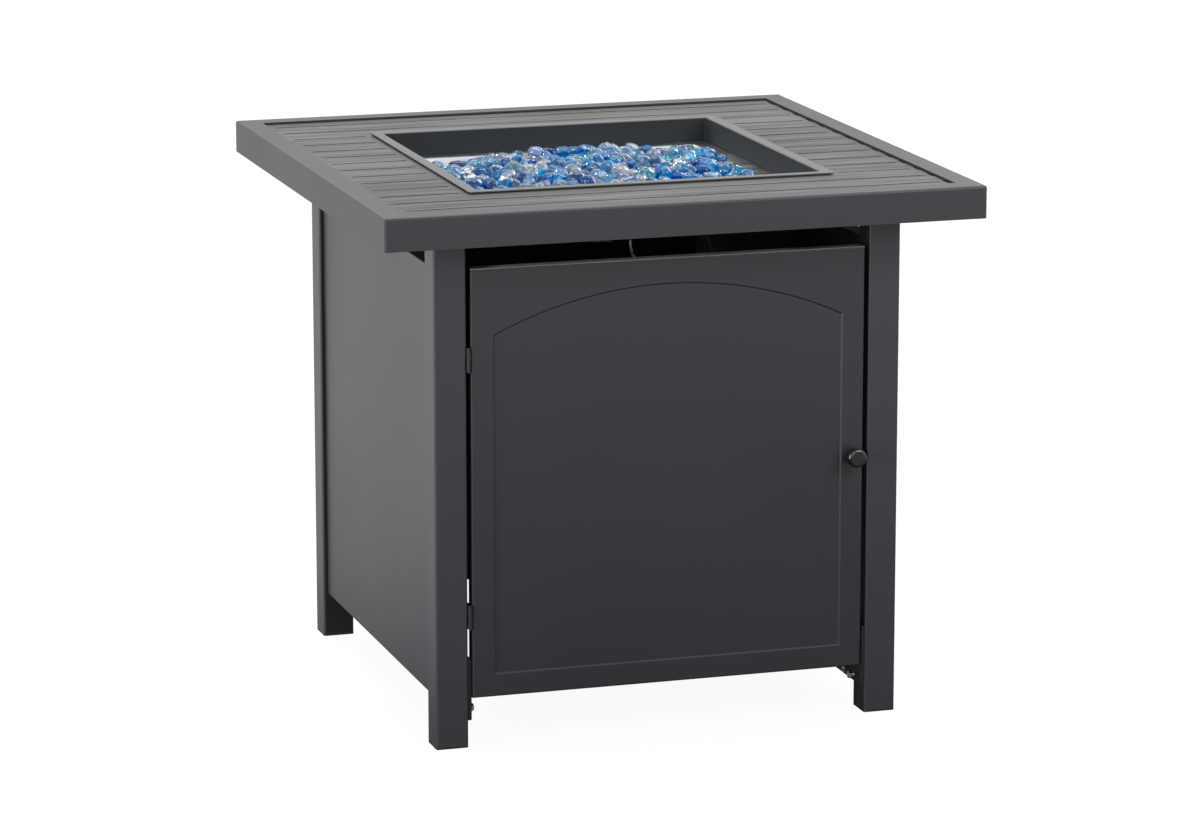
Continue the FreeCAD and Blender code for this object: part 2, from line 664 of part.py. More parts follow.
RIVET_BACK = "(leaf_depth * 2 / 3)"
RIVET_RISE = "(leaf_height * 0.3)"
CATCH_BACK = "(door_thick + catch_gap + catch_depth / 2)"
CATCH_RISE = "(catch_height / 2 - catch_ear_height / 2)"
hinge_spots = []
for middle in (HINGE_LOW, HINGE_HIGH):
    for sign in "-+":
        hinge_spots.append((f"{RIVET_BACK} - leg_size / 2", f"{middle} {sign} {RIVET_RISE} - foot_rim"))
catch_spots = []
for sign in "-+":
    catch_spots.append((f"{CATCH_BACK} - leg_size / 2", f"{CATCH_MIDDLE} {sign} {CATCH_RISE} - foot_rim"))

leg("leg_front_left", -1, -1, ("rivet_radius + pin_gap", hinge_spots))
leg("leg_front_right", 1, -1, ("screw_radius + bore_gap", catch_spots))
leg("leg_back_left", -1, 1)
leg("leg_back_right", 1, 1)

corner_signs = [(-1, -1), (1, -1), (-1, 1), (1, 1)]
leg_places = [(f"{x} * {LEG_X}", f"{y} * {LEG_Y}") for x, y in corner_signs]
PLUG_HALF = "(leg_size / 2 - leg_wall - slide_gap)"
PLUG_CORNER = "(leg_corner - leg_wall)"

foot_cap = new_body("foot_cap")
pad(foot_cap, rounded(sketch(foot_cap), "leg_size / 2", "leg_size / 2", "leg_corner"), "foot_rim")
pad(foot_cap, rounded(sketch(foot_cap), PLUG_HALF, PLUG_HALF, PLUG_CORNER), "foot_rim + foot_plug")
hollow_top = sketch(foot_cap, "XY", "foot_rim + foot_plug")
pocket(foot_cap, centred(hollow_top, "leg_size / 3", "leg_size / 3"), "foot_plug")
group("foot_caps", foot_cap, [(x, y, "0", UPRIGHT) for x, y in leg_places])

leg_plug = new_body("leg_plug")
pad(leg_plug, rounded(sketch(leg_plug), PLUG_HALF, PLUG_HALF, PLUG_CORNER), "plug_height")
drill(leg_plug, "XY", "plug_height", [("0", "0")], "bolt_radius + bore_gap", "bolt_length + bolt_radius")
group("leg_plugs", leg_plug, [(x, y, f"{LEG_TOP} - plug_height", UPRIGHT) for x, y in leg_places])


# Bearers across the tops of the legs, a channel with lips each, and their fasteners

def bearer(label, end):
    body = new_body(label)
    half, lip, metal, top = "bearer_width / 2", "bearer_lip", "bearer_sheet", "bearer_height"
    right = [(half, "0"), (half, f"{top} - {metal}"), (f"{half} + {lip}", f"{top} - {metal}")]
    right += [(f"{half} + {lip}", top), (f"{half} - {metal}", top), (f"{half} - {metal}", metal)]
    left = [(f"-({x})", z) for x, z in reversed(right)]
    profile = outline(sketch(body, "YZ", f"bearer_gap - {BORDER_X}"), right + left)
    pad(body, profile, f"2 * ({BORDER_X} - bearer_gap)")
    webs = [(f"{side} * {LEG_X}", "0") for side in (-1, 1)]
    drill(body, "XY", metal, webs, "bolt_radius + bore_gap", metal)
    lips = [(f"{x} * {LEDGE_SCREW}", f"{y} * {LIP_SCREW}") for x, y in corner_signs]
    drill(body, "XY", top, lips, "screw_radius + bore_gap", metal)
    keep(body, label)
    return place(body, "0", f"{end} * {LEG_Y}", LEG_TOP)


bearer("bearer_front", -1)
bearer("bearer_back", 1)

short_bolt = hex_bolt("short_bolt", "bolt_length")
small_screw = round_screw("small_screw", "screw_head", "screw_head_height", "screw_radius", "screw_length")
bolt_places = [(x, y, f"{LEG_TOP} + bearer_sheet", UPRIGHT) for x, y in leg_places]
top_spots = []
for x, y in corner_signs:
    for sign in "-+":
        under_lip = f"{LEDGE_BOTTOM} - bearer_sheet"
        across = f"{y} * {LEG_Y} {sign} {LIP_SCREW}"
        top_spots.append((f"{x} * {LEDGE_SCREW}", across, under_lip, UPSIDE_DOWN))
group("top_screws", small_screw, top_spots)


# Bottom rails between the legs, brackets on the legs' inner faces and their bolts

def bottom_rail(label, side):
    """Angle whose upright leg takes the bolts; its upper leg lies under the cabinet panel."""
    body = new_body(label)
    top, near, far = "(panel_bottom - panel_play)", INNER_X, f"({INNER_X} + rail_width)"
    inside, under = f"({INNER_X} + rail_metal)", f"({top} - rail_metal)"
    corners = [(near, f"({top} - rail_height)"), (inside, f"({top} - rail_height)"), (inside, under)]
    corners += [(far, under), (far, top), (near, top)]
    corners = [(f"{side} * {x}", z) for x, z in corners[::side]]
    pad(body, outline(sketch(body, "XZ", f"-{INNER_Y}"), corners), f"2 * {INNER_Y}")
    spots = [(f"{end} * ({INNER_Y} - bracket_reach / 2)", "bolt_height") for end in (-1, 1)]
    drill(body, "YZ", f"{side} * {inside}", spots, "bolt_radius + bore_gap", "rail_metal", reverse=side < 0)
    return keep(body, label)


def rail_bracket(label, side, end):
    """Pressed bracket, open towards leg and rail; the back ones end below the back panel."""
    sign = -side * end
    near, far = f"({INNER_Y} - bracket_reach)", f"({OUTER_Y} - bracket_setback)"
    low, high = (near, far) if sign > 0 else (f"-{far}", f"-{near}")
    top = "(bracket_bottom + bracket_height)" if end < 0 else "(panel_bottom - panel_play)"
    metal, bend = "bracket_sheet", "bracket_bend"
    body = sheet_pan(label, low, high, "bracket_bottom", top, "bracket_thick", metal, bend)
    spots = [(f"{sign} * ({INNER_Y} - bracket_reach / 2)", "bolt_height")]
    spots += [(f"{sign} * ({LEG_Y} - bolt_shift)", "bolt_height")]
    if end < 0:
        spots += [(f"{sign} * ({LEG_Y} - bolt_shift)", "(bolt_height + bolt_rise)")]
    drill(body, "XZ", "0", spots, "bolt_radius + bore_gap", "bracket_sheet")
    keep(body, label)
    turn = FreeCAD.Rotation(V(0, 0, 1), -90 * side)
    return place(body, f"{side} * ({INNER_X} - bracket_thick)", "0", "0", turn)


bottom_rail("bottom_rail_left", -1)
bottom_rail("bottom_rail_right", 1)
standing_places = []
for side, end in corner_signs:
    name = ("front" if end < 0 else "back") + "_" + ("left" if side < 0 else "right")
    rail_bracket("rail_bracket_" + name, side, end)
    inwards = AGAINST_X if side > 0 else ALONG_X
    face = f"{side} * ({INNER_X} - bracket_thick)"
    on_leg = f"{end} * ({LEG_Y} - bolt_shift)"
    on_rail = f"{end} * ({INNER_Y} - bracket_reach / 2)"
    bolt_places.append((face, on_rail, "bolt_height", inwards))
    if end < 0:
        bolt_places.append((face, on_leg, "bolt_height + bolt_rise", inwards))
    stand = f"{side} * ({INNER_X} - bracket_thick - stud_stand)"
    standing_places.append((stand, on_leg, "bolt_height", inwards))
group("frame_bolts", short_bolt, bolt_places)
group("standing_bolts", hex_bolt("standing_bolt", "bolt_length + stud_stand"), standing_places)

# Tabletop rim: one folded frame with a lip below and a ledge inside

rim = new_body("rim_frame")
pad(rim, rounded(sketch(rim), "top_width / 2", "top_depth / 2", "rim_corner"), "rim_height")
rim_top = value("rim_height")
round_edges(rim, "rim_bend", lambda edge: at_level(edge, "Z", rim_top))
lower = centred(sketch(rim), "(top_width / 2 - rim_lip)", "(top_depth / 2 - rim_lip)")
pocket(rim, lower, "rim_sheet", reverse=True)
inside = sketch(rim, "XY", "rim_sheet")
rounded(inside, "(top_width / 2 - rim_sheet)", "(top_depth / 2 - rim_sheet)", "(rim_corner - rim_sheet)")
pocket(rim, inside, "rim_height - 2 * rim_sheet", reverse=True)
pocket(rim, centred(sketch(rim, "XY", "rim_height"), BORDER_X, BORDER_Y), "rim_sheet")
fold = sketch(rim, "XY", f"{LEDGE_BOTTOM} - {RIM_BOTTOM}")
centred(fold, f"{BORDER_X} + rim_sheet", f"{BORDER_Y} + rim_sheet")
centred(fold, BORDER_X, BORDER_Y)
pad(rim, fold, f"top_height - rim_sheet / 2 - {LEDGE_BOTTOM}")
ledge = sketch(rim, "XY", f"{LEDGE_BOTTOM} - {RIM_BOTTOM}")
centred(ledge, f"{BORDER_X} + rim_sheet / 2", f"{BORDER_Y} + rim_sheet / 2")
centred(ledge, f"{BORDER_X} - ledge_width", f"{BORDER_Y} - ledge_width")
pad(rim, ledge, "rim_sheet")
ledge_spots = [(x, y) for x, y, z, turn in top_spots]
drill(rim, "XY", f"{LEDGE_TOP} - {RIM_BOTTOM}", ledge_spots, "screw_radius + bore_gap", "rim_sheet")
keep(place(rim, z=RIM_BOTTOM), "tabletop_rim")

# Slat panel: one stamped sheet, grooved, with turned-down edges and a raised seat round its opening

PANEL_X = f"({BORDER_X} - panel_gap)"
PANEL_Y = f"({BORDER_Y} - panel_gap)"
OPENING = "(bowl_opening / 2 + bowl_sheet + bowl_gap)"
GROOVE_COUNT = f"(floor(2 * ({PANEL_Y} - slat_least) / groove_pitch) + 1)"
FIRST_GROOVE = f"(groove_pitch * ({GROOVE_COUNT} - 1) / 2)"

slats = new_body("slats")
pad(slats, centred(sketch(slats), PANEL_X, PANEL_Y), "panel_sheet")
groove_x = f"({PANEL_X} - groove_end)"
under = sketch(slats)
wide = "(groove_width / 2 + panel_sheet)"
far_x = f"{groove_x} + panel_sheet"
rectangle(under, f"-({far_x})", f"-{FIRST_GROOVE} - {wide}", far_x, f"-{FIRST_GROOVE} + {wide}")
bulge = pad(slats, under, "groove_depth", reverse=True)
over = sketch(slats, "XY", "panel_sheet")
groove_sides = [f"-{FIRST_GROOVE} {sign} groove_width / 2" for sign in "-+"]
rectangle(over, f"-{groove_x}", groove_sides[0], groove_x, groove_sides[1])
groove = pocket(slats, over, "groove_depth", taper="-groove_slope")
repeat(slats, [bulge, groove], under, "groove_pitch", GROOVE_COUNT)
apron = sketch(slats)
centred(apron, f"{OPENING} + apron_width", f"{OPENING} + apron_width")
centred(apron, f"{OPENING} - 1", f"{OPENING} - 1")
pad(slats, apron, "panel_sheet")
seat = sketch(slats, "XY", "panel_sheet / 2")
centred(seat, f"{OPENING} + seat_width", f"{OPENING} + seat_width")
centred(seat, f"{OPENING} - 1", f"{OPENING} - 1")
pad(slats, seat, "panel_sheet / 2 + seat_rise")
pocket(slats, centred(sketch(slats, "XY", "panel_sheet + seat_rise"), OPENING, OPENING))
collar = sketch(slats, "XY", "panel_sheet / 2")
centred(collar, f"{OPENING} + panel_sheet", f"{OPENING} + panel_sheet")
centred(collar, OPENING, OPENING)
pad(slats, collar, "collar_depth + panel_sheet / 2", reverse=True)
edge_ring = sketch(slats, "XY", "panel_sheet / 2")
centred(edge_ring, PANEL_X, PANEL_Y)
centred(edge_ring, f"{PANEL_X} - panel_sheet", f"{PANEL_Y} - panel_sheet")
pad(slats, edge_ring, "panel_edge - panel_sheet / 2", reverse=True)
notch_sketch = sketch(slats, "XY", "panel_sheet")
notch_ends = [f"-{FIRST_GROOVE} - notch_length / 2", f"-{FIRST_GROOVE} + notch_length / 2"]
rectangle(notch_sketch, f"{PANEL_X} - notch_depth", notch_ends[0], f"{PANEL_X} + 1", notch_ends[1])
rectangle(notch_sketch, f"-{PANEL_X} - 1", notch_ends[0], f"notch_depth - {PANEL_X}", notch_ends[1])
notch = pocket(slats, notch_sketch, "notch_height")
repeat(slats, [notch], notch_sketch, "groove_pitch", GROOVE_COUNT)
keep(place(slats, z=f"{PANEL_TOP} - panel_sheet"), "slat_panel")

# Fire bowl: flange on the panel's seat, walls, and a ledge that carries the burner pan

bowl = new_body("bowl")
flange_half = "(bowl_opening / 2 + bowl_flange)"
wall_half = "(bowl_opening / 2 + bowl_sheet)"
pad(bowl, rounded(sketch(bowl), flange_half, flange_half, "bowl_corner"), "bowl_sheet", reverse=True)
wall = rounded(sketch(bowl), wall_half, wall_half, "(bowl_corner + bowl_sheet)")
pad(bowl, wall, "bowl_depth + bowl_sheet", reverse=True)
pocket(bowl, rounded(sketch(bowl), "(bowl_opening / 2)", "(bowl_opening / 2)", "bowl_corner"), "bowl_depth")
ledge_half = "(bowl_opening / 2 - bowl_ledge)"
pocket(bowl, rounded(sketch(bowl), ledge_half, ledge_half, "bowl_corner"))
mouth = value("bowl_opening / 2") + NEAR
round_edges(bowl, "bowl_bend", lambda edge: at_level(edge, "Z", 0) and edge.BoundBox.DiagonalLength > NEAR
            and max(abs(edge.BoundBox.XMin), abs(edge.BoundBox.YMin)) < mouth
            and max(abs(edge.BoundBox.XMax), abs(edge.BoundBox.YMax)) < mouth)
keep(place(bowl, z=BOWL_TOP), "fire_bowl")

# Burner pan, stainless, hung by its flange on the bowl's ledge

PAN_HALF = f"({ledge_half} - pan_gap)"
PAN_INSIDE = f"({PAN_HALF} - pan_sheet)"
probe_spots = [("probe_right", "-probe_front"), ("probe_right + probe_spacing", "-probe_front")]

pan = new_body("pan")
pan_flange = "(bowl_opening / 2 - pan_gap)"
pad(pan, rounded(sketch(pan), pan_flange, pan_flange, "bowl_corner"), "pan_sheet", reverse=True)
pan_outside = rounded(sketch(pan), PAN_HALF, PAN_HALF, "pan_corner")
pad(pan, pan_outside, "pan_depth", reverse=True, taper="-pan_taper")
pan_inside = rounded(sketch(pan), PAN_INSIDE, PAN_INSIDE, "(pan_corner - pan_sheet)")
pocket(pan, pan_inside, "pan_depth - pan_sheet", taper="-pan_taper")
drill(pan, "XY", "pan_sheet - pan_depth", [("0", "0")], "riser_radius + bore_gap", "pan_sheet")
drill(pan, "XY", "pan_sheet - pan_depth", probe_spots, "probe_radius + bore_gap", "pan_sheet")
keep(place(pan, z=PAN_TOP), "burner_pan")

# Burner: ring and cross pipe with ports, riser with its nut, elbow, air mixer and orifice

burner = new_body("burner")
revolve(burner, circle(sketch(burner, "XZ"), "burner_radius", "0", "burner_pipe"))
pad(burner, circle(sketch(burner, "YZ", "-burner_radius"), "0", "0", "burner_pipe"), "2 * burner_radius")
pad(burner, circle(sketch(burner, "XY", "-burner_pipe"), "0", "0", "burner_hub"), "2 * burner_pipe")
half_pitch = "180 deg / port_count"
port_sketch = sketch(burner, "XY", "burner_pipe")
circle(port_sketch, f"burner_radius * cos({half_pitch})", f"burner_radius * sin({half_pitch})", "port_radius")
port = pocket(burner, port_sketch, "burner_pipe / 2")
repeat_round(burner, [port], port_sketch, "port_count")
keep(place(burner, z=BURNER_LEVEL), "burner_ring")

riser = new_body("riser")
riser_foot = f"({ELBOW_LEVEL} + elbow_radius)"
riser_profile = circle(sketch(riser), "0", "0", "riser_radius")
circle(riser_profile, "0", "0", "riser_radius - riser_wall")
pad(riser, riser_profile, f"{BURNER_LEVEL} - burner_pipe - {riser_foot}")
keep(place(riser, z=riser_foot), "burner_riser")

riser_nut = new_body("nut_of_riser")
nut_profile = hexagon(sketch(riser_nut), "riser_nut_size")
circle(nut_profile, "0", "0", "riser_radius + bore_gap")
pad(riser_nut, nut_profile, "nut_height", reverse=True)
keep(place(riser_nut, z=f"{PAN_TOP} - pan_depth"), "riser_nut")

elbow_parts = []
for shape, name in (("Sphere", "bend"), ("Cylinder", "upright"), ("Cylinder", "level")):
    piece = doc.addObject("Part::" + shape, "elbow_" + name)
    piece.setExpression("Radius", formula("elbow_radius"))
    if shape == "Cylinder":
        piece.setExpression("Height", formula("elbow_radius" if name == "upright" else "elbow_arm"))
    place(piece, z=ELBOW_LEVEL, turn=ALONG_X if name == "level" else UPRIGHT)
    elbow_parts.append(piece)
elbow = doc.addObject("Part::MultiFuse", "elbow")
elbow.Shapes = elbow_parts
keep(elbow, "burner_elbow")

slope = "(mixer_radius - mixer_waist)"
mixer = turned("mixer", [
    ("mixer_bore", "0"), ("mixer_radius", "0"), ("mixer_radius", f"mixer_end - {slope}"),
    ("mixer_waist", "mixer_end"), ("mixer_waist", "mixer_length - mixer_end"),
    ("mixer_radius", f"mixer_length - mixer_end + {slope}"), ("mixer_radius", "mixer_length"),
    ("mixer_bore", "mixer_length")])
window = sketch(mixer, "XZ", "mixer_radius")
window_ends = [f"mixer_end + {slope}", f"mixer_length - mixer_end - {slope}"]
rectangle(window, "-window_width / 2", window_ends[0], "window_width / 2", window_ends[1])
window_cut = pocket(mixer, window)
repeat_round(mixer, [window_cut], window, "2", "V_Axis")
keep(place(mixer, "elbow_arm", "0", ELBOW_LEVEL, ALONG_X), "air_mixer")

ORIFICE_START = "(elbow_arm + mixer_length)"
orifice = new_body("orifice")
pad(orifice, hexagon(sketch(orifice), "orifice_size"), "orifice_length")
drill(orifice, "XY", "orifice_length", [("0", "0")], "tube_radius + bore_gap", "tube_seat")
keep(place(orifice, ORIFICE_START, "0", ELBOW_LEVEL, ALONG_X), "orifice_fitting")

# Electrode and thermocouple, through the pan beside the burner's cross pipe

PROBE_BOTTOM = f"({PAN_FLOOR} - probe_drop)"


def probe(label, spot, tip):
    shoulder = f"probe_sleeve + probe_radius - {tip}"
    corners = [("0", "0"), ("probe_radius", "0"), ("probe_radius", "probe_sleeve"), (tip, shoulder)]
    corners += [(tip, "probe_length"), ("0", "probe_length")]
    body = turned(label + "_body", corners)
    keep(body, label)
    return place(body, spot[0], spot[1], PROBE_BOTTOM)


probe("igniter_electrode", probe_spots[0], "electrode_tip")
probe("thermocouple", probe_spots[1], "thermocouple_tip")

# Side panels and back panel: pressed pans between the legs

panel_levels = ["(panel_bottom + screw_inset)", f"({PANEL_UP} - screw_inset)"]


def cabinet_panel(label, half, x, y, turn_degrees):
    depth, metal, bend = "panel_flange", "panel_metal", "panel_bend"
    body = sheet_pan(label, f"-{half}", half, "panel_bottom", PANEL_UP, depth, metal, bend)
    spots = [("panel_flange / 2", level) for level in panel_levels]
    drill(body, "YZ", half, spots, "screw_radius + bore_gap")
    keep(body, label)
    return place(body, x, y, "0", FreeCAD.Rotation(V(0, 0, 1), turn_degrees))


SIDE_HALF = f"({INNER_Y} - panel_play)"
BACK_HALF = f"({INNER_X} - panel_play)"
cabinet_panel("side_panel_left", SIDE_HALF, f"-{PANEL_FACE}", "0", -90)
right_panel = cabinet_panel("side_panel_right", SIDE_HALF, PANEL_FACE, "0", 90)
cabinet_panel("back_panel", BACK_HALF, "0", PANEL_FACE_Y, 180)

screw_y, screw_z = "(box_width / 2 - box_lip / 2)", "(box_height / 2 - box_lip / 2)"
plate_spots = []
for y, z in corner_signs:
    plate_spots.append((f"box_middle + {y} * {screw_y}", f"{CONTROL_Z} + {z} * {screw_z}"))
drill(right_panel, "XZ", "0", [(VALVE_Y, CONTROL_Z)], "stem_hole", "panel_metal")
drill(right_panel, "XZ", "0", [(IGNITER_Y, CONTROL_Z)], "igniter_radius + slide_gap", "panel_metal")
drill(right_panel, "XZ", "0", plate_spots, "screw_radius + bore_gap", "panel_metal")

flange_x = "(top_width / 2 - leg_inset - panel_recess - panel_flange / 2)"
flange_y = "(top_depth / 2 - leg_inset - panel_recess - panel_flange / 2)"
screw_places = [(PLATE_FACE, y, z, ALONG_X) for y, z in plate_spots]
for side, end in corner_signs:
    for level in panel_levels:
        face = f"{end} * ({INNER_Y} - panel_play - panel_metal)"
        screw_places.append((f"{side} * {flange_x}", face, level, ALONG_Y if end < 0 else AGAINST_Y))
        if end > 0:
            face = f"{side} * ({INNER_X} - panel_play - panel_metal)"
            screw_places.append((face, flange_y, level, ALONG_X if side < 0 else AGAINST_X))

# Door: pressed pan with a return lip and an arched pressed panel, its local origin at its lower left

door = sheet_pan("door_pan", "0", DOOR_WIDTH, "0", DOOR_HEIGHT, "door_thick", "door_metal", "door_bend")
return_lip(door, "0", DOOR_WIDTH, "0", DOOR_HEIGHT, "door_thick", "door_metal", "door_lip")


def arch(made):
    """The pressed panel's outline: straight sides, and a flat arc on top."""
    middle, spring = f"({DOOR_WIDTH} / 2)", f"({DOOR_HEIGHT} - arch_shoulder)"
    left, right = "arch_side", f"({DOOR_WIDTH} - arch_side)"
    radius = f"((({middle} - arch_side) ^ 2 + arch_rise ^ 2) / (2 * arch_rise))"
    corners = [(left, "arch_bottom"), (right, "arch_bottom"), (right, spring), (left, spring)]
    points = [V(value(x), value(z), 0) for x, z in corners]
    for i in range(3):
        start = points[(i + 3) % 4]
        made.addGeometry(Part.LineSegment(start, points[i]), False)
        pin_point(made, i, 2, *corners[i])
    pin_point(made, 0, 1, *corners[3])
    made.addConstraint(Sketcher.Constraint("Coincident", 0, 2, 1, 1))
    made.addConstraint(Sketcher.Constraint("Coincident", 1, 2, 2, 1))
    crown = V(value(middle), value(f"{spring} + arch_rise"), 0)
    made.addGeometry(Part.Arc(points[2], crown, points[3]), False)
    made.addConstraint(Sketcher.Constraint("Coincident", 3, 1, 2, 2))
    made.addConstraint(Sketcher.Constraint("Coincident", 3, 2, 0, 1))
    hold(made, "Radius", 3, radius)
    return made


pad(door, arch(sketch(door, "XZ", "-door_metal / 2")), "door_metal / 2 + arch_depth", reverse=True)
pocket(door, arch(sketch(door, "XZ")), "arch_depth", taper="-arch_slope")
knob_x = f"({DOOR_WIDTH} - knob_inset)"
drill(door, "XZ", "0", [(knob_x, f"{DOOR_HEIGHT} / 2 + knob_rise")], "screw_radius + bore_gap", "door_metal")
door_rivets = []
for middle in (HINGE_LOW, HINGE_HIGH):
    for sign in "-+":
        door_rivets.append((RIVET_BACK, f"{middle} {sign} {RIVET_RISE} - door_bottom"))
drill(door, "YZ", "door_metal", door_rivets, "rivet_radius + pin_gap", "door_metal")
keep(place(door, DOOR_LEFT, HINGE_Y, "door_bottom"), "door")

knob = turned("knob", [
    ("screw_radius + bore_gap", "0"), ("knob_neck", "0"), ("knob_neck", "knob_reach - knob_thick"),
    ("knob_radius", "knob_reach - knob_thick + 1.5"), ("knob_radius", "knob_reach"), ("0", "knob_reach"),
    ("0", "screw_length"), ("screw_radius + bore_gap", "screw_length")])
knob_top = value("knob_reach")
round_edges(knob, "knob_round", lambda edge: at_level(edge, "Z", knob_top))
knob_level = f"door_bottom + {DOOR_HEIGHT} / 2 + knob_rise"
keep(place(knob, f"{DOOR_LEFT} + {knob_x}", HINGE_Y, knob_level, AGAINST_Y), "door_knob")
knob_screw = (f"{DOOR_LEFT} + {knob_x}", f"{HINGE_Y} + door_metal", knob_level, ALONG_Y)
group("door_knob_screw", small_screw, [knob_screw])


# Hinges: two leaves and a pin each, the axis in the middle of the left gap

def knuckles(body, side, spans):
    """Knuckle and web of a leaf over stretches of its height."""
    for low, high in spans:
        pad(body, circle(sketch(body, "XY", low), "0", "0", "knuckle_radius"), f"{high} - ({low})")
        edge, inner = f"{side} * hinge_gap / 2", f"{side} * (hinge_gap / 2 - leaf_sheet)"
        web = [("0", "0.6"), (edge, "0.6"), (edge, "knuckle_radius + 1"), (inner, "knuckle_radius + 1")]
        web += [(inner, "knuckle_radius"), ("0", "knuckle_radius")]
        pad(body, outline(sketch(body, "XY", low), web), f"{high} - ({low})")


def hinge_leaf(label, side, middle, spans):
    """Plate against the leg (side -1) or the door's edge (side +1), and its knuckles."""
    body = new_body(label)
    near, far = f"{side} * (hinge_gap / 2 - leaf_sheet)", f"{side} * hinge_gap / 2"
    low, high = (near, far) if side > 0 else (far, near)
    plate = rectangle(sketch(body), low, "knuckle_radius + knuckle_gap", high, "leaf_depth")
    pad(body, plate, "leaf_height")
    knuckles(body, side, spans)
    drill(body, "XY", "leaf_height", [("0", "0")], "pin_radius + pin_gap")
    spots = [(RIVET_BACK, f"leaf_height / 2 {sign} {RIVET_RISE}") for sign in "-+"]
    drill(body, "YZ", f"{high}", spots, "rivet_radius + pin_gap", "leaf_sheet")
    keep(body, label)
    return place(body, HINGE_X, HINGE_Y, f"{middle} - leaf_height / 2")


third = "leaf_height / 3"
leg_spans = [("0", f"{third} - knuckle_gap / 2"), (f"2 * {third} + knuckle_gap / 2", "leaf_height")]
door_spans = [(f"{third} + knuckle_gap / 2", f"2 * {third} - knuckle_gap / 2")]
for name, middle in (("lower", HINGE_LOW), ("upper", HINGE_HIGH)):
    hinge_leaf(f"hinge_{name}_leg_leaf", -1, middle, leg_spans)
    hinge_leaf(f"hinge_{name}_door_leaf", 1, middle, door_spans)
    head = "(pin_radius + 0.8)"
    hinge_pin = turned(f"hinge_{name}_pin_body", [
        ("0", "-1"), ("pin_radius", "-1"), ("pin_radius", "leaf_height"), (head, "leaf_height"),
        (head, "leaf_height + 1"), ("0", "leaf_height + 1")])
    place(hinge_pin, HINGE_X, HINGE_Y, f"{middle} - leaf_height / 2")
    keep(hinge_pin, f"hinge_{name}_pin")

rivet = round_screw("rivet", "rivet_head", "rivet_head_height", "rivet_radius", "leaf_sheet + leg_wall + 0.8")
leg_rivets, leaf_rivets = [], []
for middle in (HINGE_LOW, HINGE_HIGH):
    for sign in "-+":
        level = f"{middle} {sign} {RIVET_RISE}"
        back = f"{HINGE_Y} + {RIVET_BACK}"
        leg_rivets.append((f"leaf_sheet - {INNER_X}", back, level, ALONG_X))
        leaf_rivets.append((f"{DOOR_LEFT} - leaf_sheet", back, level, AGAINST_X))
group("hinge_leg_rivets", rivet, leg_rivets)
group("hinge_door_rivets", rivet, leaf_rivets)

# Magnetic catch on the right leg, behind the closed door

catch = new_body("catch")
block_half = "(catch_height / 2 - catch_ear_height)"
block = rectangle(sketch(catch, "XY", f"-{block_half}"), "-catch_width", "0", "0", "catch_depth")
pad(catch, block, f"2 * {block_half}")
ears = rectangle(sketch(catch, "XY", "-catch_height / 2"), "-catch_ear", "0", "0", "catch_depth")
pad(catch, ears, "catch_height")
ear_spots = [("catch_depth / 2", f"{sign}{CATCH_RISE}") for sign in "-+"]
drill(catch, "YZ", "0", ear_spots, "screw_radius + bore_gap", "catch_ear")
CATCH_Y = f"({HINGE_Y} + door_thick + catch_gap)"
keep(place(catch, INNER_X, CATCH_Y, CATCH_MIDDLE), "magnetic_catch")
for sign in "-+":
    screw_back = f"{CATCH_Y} + catch_depth / 2"
    screw_level = f"{CATCH_MIDDLE} {sign} {CATCH_RISE}"
    screw_places.append((f"{INNER_X} - catch_ear", screw_back, screw_level, AGAINST_X))
group("cabinet_screws", small_screw, screw_places)

# Control box inside the right panel, control plate outside, and their screws

BOX_BACK = f"({PANEL_FACE} - panel_metal - box_depth)"
half_box = "(box_width / 2)"
box_low, box_high = f"-{half_box}", half_box
box = sheet_pan("box", box_low, box_high, BOX_BOTTOM, BOX_UP, "box_depth", "box_metal", "panel_bend")
return_lip(box, box_low, box_high, BOX_BOTTOM, BOX_UP, "box_depth", "box_metal", "box_lip")
lead_spots = [("box_middle - lead_one", LEAD_LEVEL), ("box_middle - lead_two", LEAD_LEVEL)]
drill(box, "XZ", "0", lead_spots, "lead_hole", "box_metal")
drill(box, "XZ", "0", [("-valve_shift", ELBOW_LEVEL)], "tube_radius + pipe_gap", "box_metal")
inlet_spot = ("-valve_shift", "box_depth - valve_port")
drill(box, "XY", f"{BOX_BOTTOM} + box_metal", [inlet_spot], "inlet_radius + pipe_gap", "box_metal")
lip_spots = [(f"{y} * {screw_y}", f"{CONTROL_Z} + {z} * {screw_z}") for y, z in corner_signs]
drill(box, "XZ", "box_metal - box_depth", lip_spots, "screw_radius + bore_gap", "box_metal")
keep(place(box, BOX_BACK, "box_middle", "0", FreeCAD.Rotation(V(0, 0, 1), -90)), "control_box")

plate = new_body("plate")
plate_face = rounded(sketch(plate, "XZ"), "plate_width / 2", "plate_height / 2", "plate_corner")
circle(plate_face, "valve_shift", "0", "stem_hole")
circle(plate_face, "-igniter_shift", "0", "igniter_radius + slide_gap")
for y, z in corner_signs:
    circle(plate_face, f"{y} * {screw_y}", f"{z} * {screw_z}", "screw_radius + bore_gap")
pad(plate, plate_face, "plate_metal")
outward = FreeCAD.Rotation(V(0, 0, 1), 90)
keep(place(plate, PANEL_FACE, "box_middle", CONTROL_Z, outward), "control_plate")

# Gas valve, the collar and stem that are pushed in, and the knob that turns the stem

